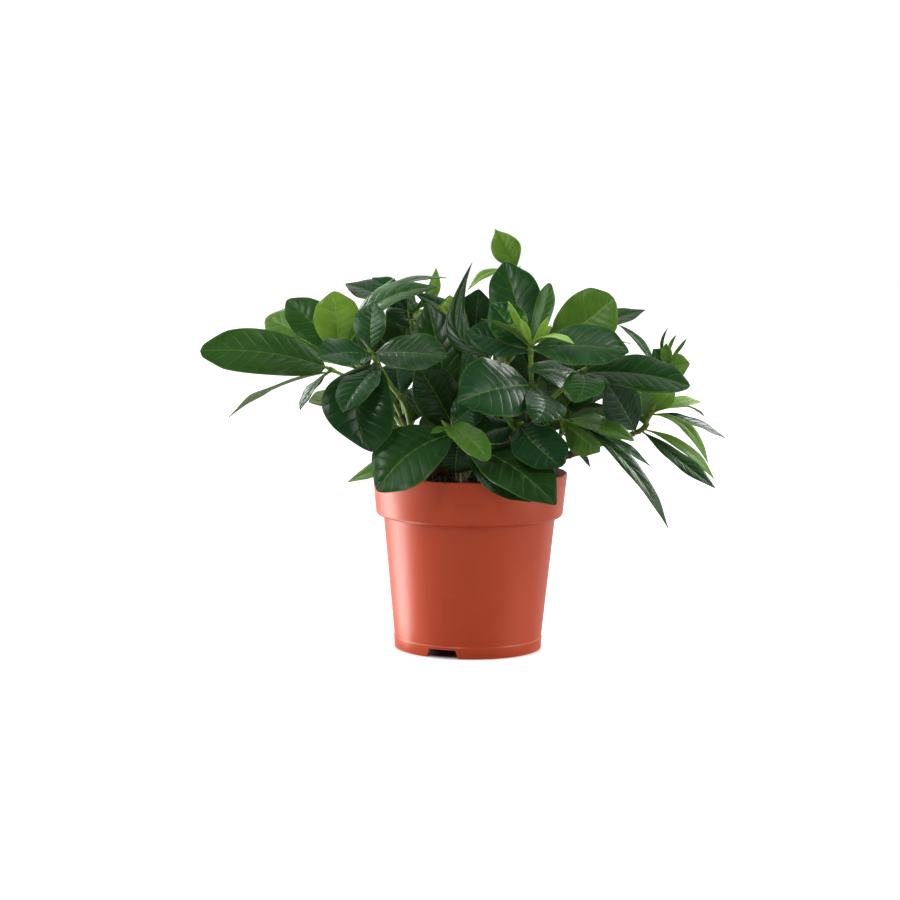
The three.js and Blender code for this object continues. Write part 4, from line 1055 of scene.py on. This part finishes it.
def reliefOf(t, u, row, phase):
    # how far a blade's upper face stands off its smooth form
    look = bladeLook
    half = row["wide"] / 2 * outline(t, row["full"])
    vein = (t - veinLook["slant"] * np.abs(u)) * veinLook["count"]
    swell = np.abs(np.sin(math.pi * vein)) ** 1.2 - 0.5
    ends = np.clip(t / look["ends"], 0, 1) * np.clip((1 - t) / look["ends"], 0, 1)
    size = np.minimum(1, half / look["fullRelief"])
    groove = look["groove"] * np.exp(-(u * half / look["grooveWide"]) ** 2)
    crest = 2 * math.pi * (look["waves"] * t + phase) + look["waveShift"] * np.sign(u)
    wave = look["wave"] * np.abs(u) ** 2.5 * np.sin(crest)
    return ends * size * (look["swell"] * swell * (1 - np.abs(u) ** 3) - groove + wave)


def addBlade(bm, layers, blade):
    look = bladeLook
    row = blade["row"]
    small = row["wide"] < look["smallWide"] or "out" in row
    columns = look["smallColumns"] if small else look["columns"]
    rows = look["smallRows"] if small else look["rows"]
    made = bmesh.ops.create_grid(bm, x_segments=columns, y_segments=rows, size=1, calc_uvs=True)["verts"]
    x = np.array([vert.co.x for vert in made])
    y = np.array([vert.co.y for vert in made]) / 2 + 0.5
    u = np.sign(x) * np.abs(x) ** 1.3
    t = y - look["crowd"] * np.sin(2 * math.pi * y)
    phase = draw(0, 1)
    tone = draw(0, 1)
    extra = reliefOf(t, u, row, phase) + look["thick"] / 2
    for vert, point, across, along in zip(made, spots(blade, t, u, extra), u, t):
        vert.co = point
        vert[layers["age"]] = min(max(row["age"], 0), 1)
        vert[layers["tone"]] = tone
        for loop in vert.link_loops:
            loop[layers["uv"]].uv = (across / 2 + 0.5, along)
    return facesOf(made)


def petioleOf(blade):
    # the leaf's stalk and the raised midrib under its blade
    thick = 0.35 + blade["row"]["wide"] / 60
    t = np.array([-0.012, 0.0, 0.03, 0.06, 0.12, 0.22, 0.34, 0.46, 0.58, 0.7, 0.8, 0.88])
    radii = thick * (1 - 0.8 * np.clip(t, 0, 1) ** 0.7)
    points = [spots(blade, np.array([share]), np.array([0.0]), -bladeLook["thick"] / 2 - 0.35 * radius)[0]
              for share, radius in zip(t, radii)]
    return points, radii


# The shoots: sides round them, swelling at each pair of leaves, the papery sheath above it (its
# length, flare, sides, thickness and torn edge), the bud at the tip (its length, then where along it
# and how thick), and how green the stem is at its foot, further on, and in the stalks.
shootLook = {"sides": 10, "stalkSides": 6, "steps": 60, "swell": 0.3, "swellWide": 1.3,
             "sheath": 3.2, "flare": 0.6, "sheathSides": 14, "sheathThick": 0.2, "torn": (-1.2, 0.8),
             "bud": 7, "budForm": ((0.3, 1.0), (0.6, 0.75), (0.85, 0.4), (1, 0.08)),
             "oldGreen": 0.42, "younger": 0.45, "stalkGreen": 0.7, "sharpFrom": 55}


def makeShoot(shoot, blades, materials):
    look = shootLook
    bm = bmesh.new()
    layers = {"age": bm.verts.layers.float.new("age"), "tone": bm.verts.layers.float.new("tone"),
              "uv": bm.loops.layers.uv.new("UVMap")}
    faces = []
    for blade in blades:
        faces += addBlade(bm, layers, blade)
    asMaterial(faces, 0)
    walls = bmesh.ops.solidify(bm, geom=faces, thickness=bladeLook["thick"])["geom"]
    asMaterial([item for item in walls if isinstance(item, bmesh.types.BMFace)], 1)

    pairs = sorted({round(blade["row"]["share"], 2) for blade in blades})
    joints = [curvePoint(shoot["line"], onShoot(shoot, share)) for share in pairs]
    points = []
    radii = []
    for i in range(look["steps"] + 1):
        share = i / look["steps"]
        point = curvePoint(shoot["line"], share)
        radius = mixed(shoot["radius"], share)
        for joint in joints:
            gap = np.linalg.norm(point - joint) / look["swellWide"]
            radius *= 1 + look["swell"] * math.exp(-gap ** 2) / max(1, len(pairs) / 4)
        points.append(point)
        radii.append(radius)
    end = points[-1]
    way = directionAt(shoot["line"], 1)
    for along, thick in look["budForm"]:
        points.append(end + way * look["bud"] * along)
        radii.append(shoot["radius"][1] * thick)
    for vert in addTubes(bm, [(points, radii)], 2, look["sides"]):
        past = np.linalg.norm(np.array(vert.co) - points[0]) / np.linalg.norm(end - points[0])
        vert[layers["age"]] = look["oldGreen"] + look["younger"] * min(past, 1)
    for vert in addTubes(bm, [petioleOf(blade) for blade in blades], 2, look["stalkSides"]):
        vert[layers["age"]] = look["stalkGreen"]
    for share in pairs[:-1]:
        addSheath(bm, shoot, onShoot(shoot, share))
    piece = addPiece("leafy_shoot_" + shoot["name"], bm, materials, "leaves", "shoot_" + shoot["name"])
    piece.data.set_sharp_from_angle(angle=math.radians(look["sharpFrom"]))


def addSheath(bm, shoot, share):
    # the papery collar just above a pair of leaves
    look = shootLook
    radius = mixed(shoot["radius"], share)
    way = Vector(directionAt(shoot["line"], share))
    made = bmesh.ops.create_cone(bm, cap_ends=False, segments=look["sheathSides"], radius1=radius + 0.25,
                                 radius2=radius + look["flare"], depth=look["sheath"])["verts"]
    for vert in made:
        if vert.co.z > 0:
            vert.co.z += draw(*look["torn"])
    foot = Vector(curvePoint(shoot["line"], share)) + way * look["sheath"] * 0.5
    turn = way.to_track_quat("Z", "X").to_matrix().to_4x4()
    bmesh.ops.transform(bm, matrix=Matrix.Translation(foot) @ turn, verts=made)
    sides = facesOf(made)
    asMaterial(sides, 3)
    bmesh.ops.solidify(bm, geom=sides, thickness=look["sheathThick"])


shootMaterials = [makeLeafUpper(), makeLeafLower(), makeShootGreen(), makePapery()]
for shoot in shoots:
    makeShoot(shoot, [place["blade"] for place in leaves if place["shoot"] is shoot], shootMaterials)
print("leafy shoots dressed:", len(shoots))

# The studio: a pale floor that glows a little for the camera, with the glow cut out under the pot as
# painted shade and a strip at the left that glows for reflections only as painted light, a sky that is
# white behind the plant and dark behind the camera, and soft boxes (place, aim, width and height in metres,
# power in watts).
studio = {
    "floor": 6,
    "glow": 0.9,
    "shadeUnder": (0.043, 0.058),
    "front": 0.03,
    "back": 1.0,
    "gleam": {"from": (-0.039, -0.028, 0), "azimuth": -112, "wide": 28, "core": 4, "near": (0.055, 0.1),
              "strength": 6.2},
    "boxes": {
        "left": ((-1.35, 0.45, 0.36), (0, 0, 0.12), 0.3, 0.5, 9),
        "side": ((-1.55, -0.35, 0.6), (0, 0, 0.12), 0.9, 1.2, 12),
        "key": ((-0.75, -0.8, 1.35), (0, 0, 0.15), 0.9, 0.9, 3.8),
        "spark": ((-0.47, -1.3, 1.25), (0, 0, 0.17), 0.3, 0.3, 5),
        "right": ((1.55, -0.45, 0.5), (0, 0, 0.12), 1.2, 1.4, 19),
        "backLeft": ((-1.0, 0.9, 0.9), (0, 0, 0.2), 0.5, 0.5, 8),
        "backRight": ((1.0, 0.9, 0.9), (0, 0, 0.2), 0.5, 0.5, 6),
    },
}


def gleamOn(tree, place, distance):
    # a strip of floor at the left that glows as painted light for glossy rays only, so that only the
    # reflections in the pot and the leaves show it
    gleam = studio["gleam"]
    azimuth = math.radians(gleam["azimuth"])
    way = vectorCalc(tree, "NORMALIZE", vectorCalc(tree, "SUBTRACT", place, gleam["from"])[0])[0]
    middle = (math.sin(azimuth), -math.cos(azimuth), 0)
    edges = [math.cos(math.radians(gleam[edge])) for edge in ("wide", "core")]
    strip = fade(tree, vectorCalc(tree, "DOT_PRODUCT", way, middle)["Value"], *edges)
    strip = calc(tree, "MULTIPLY", strip, fade(tree, distance, *gleam["near"]))
    return calc(tree, "MULTIPLY", strip, gleam["strength"])


def makeFloor():
    bm = bmesh.new()
    bmesh.ops.create_circle(bm, cap_ends=True, segments=96, radius=studio["floor"])
    floor = newObject("floor", bm)
    material, tree = newMaterial("floorPaint", Roughness=0.25, Specular_IOR_Level=0.3,
                                 Emission_Color=(1, 1, 1, 1))
    shader = tree.nodes["Principled BSDF"].inputs
    tree.links.new(mottled(tree, (0.5, 0.5, 0.5), 3, 0.01), shader["Base Color"])
    place = onObject(tree)
    distance = vectorCalc(tree, "LENGTH", place)["Value"]
    rays = addNode(tree, "LightPath")
    glow = calc(tree, "MULTIPLY", rays["Is Camera Ray"], studio["glow"])
    gleam = calc(tree, "MULTIPLY", rays["Is Glossy Ray"], gleamOn(tree, place, distance))
    # painted shade: the floor's glow is cut out under the pot, so the notches show dark
    pastPot = fade(tree, distance, *studio["shadeUnder"])
    tree.links.new(calc(tree, "MULTIPLY_ADD", glow, pastPot, gleam), shader["Emission Strength"])
    floor.data.materials.append(material)


def makeLights():
    for name, (place, aim, width, height, power) in studio["boxes"].items():
        light = bpy.data.objects.new("softbox_" + name, bpy.data.lights.new("softbox_" + name, "AREA"))
        light.data.shape = "RECTANGLE"
        light.data.size = width
        light.data.size_y = height
        light.data.energy = power
        light.location = place
        light.rotation_euler = (Vector(aim) - Vector(place)).to_track_quat("-Z", "Y").to_euler()
        bpy.context.collection.objects.link(light)


def makeSky():
    world = bpy.data.worlds.new("sky")
    world.use_nodes = True
    bpy.context.scene.world = world
    tree = world.node_tree
    split = addNode(tree, "SeparateXYZ", {0: addNode(tree, "TexCoord")["Generated"]})
    bright = fade(tree, split["Y"], -0.35, 0.5, studio["front"], studio["back"])
    colour = blend(tree, addNode(tree, "LightPath")["Is Camera Ray"], bright, (1, 1, 1, 1))
    tree.links.new(colour, tree.nodes["Background"].inputs["Color"])
    bpy.context.scene.view_settings.view_transform = "Standard"
    bpy.context.scene.view_settings.look = "None"


makeFloor()
makeLights()
makeSky()
print("studio lit")
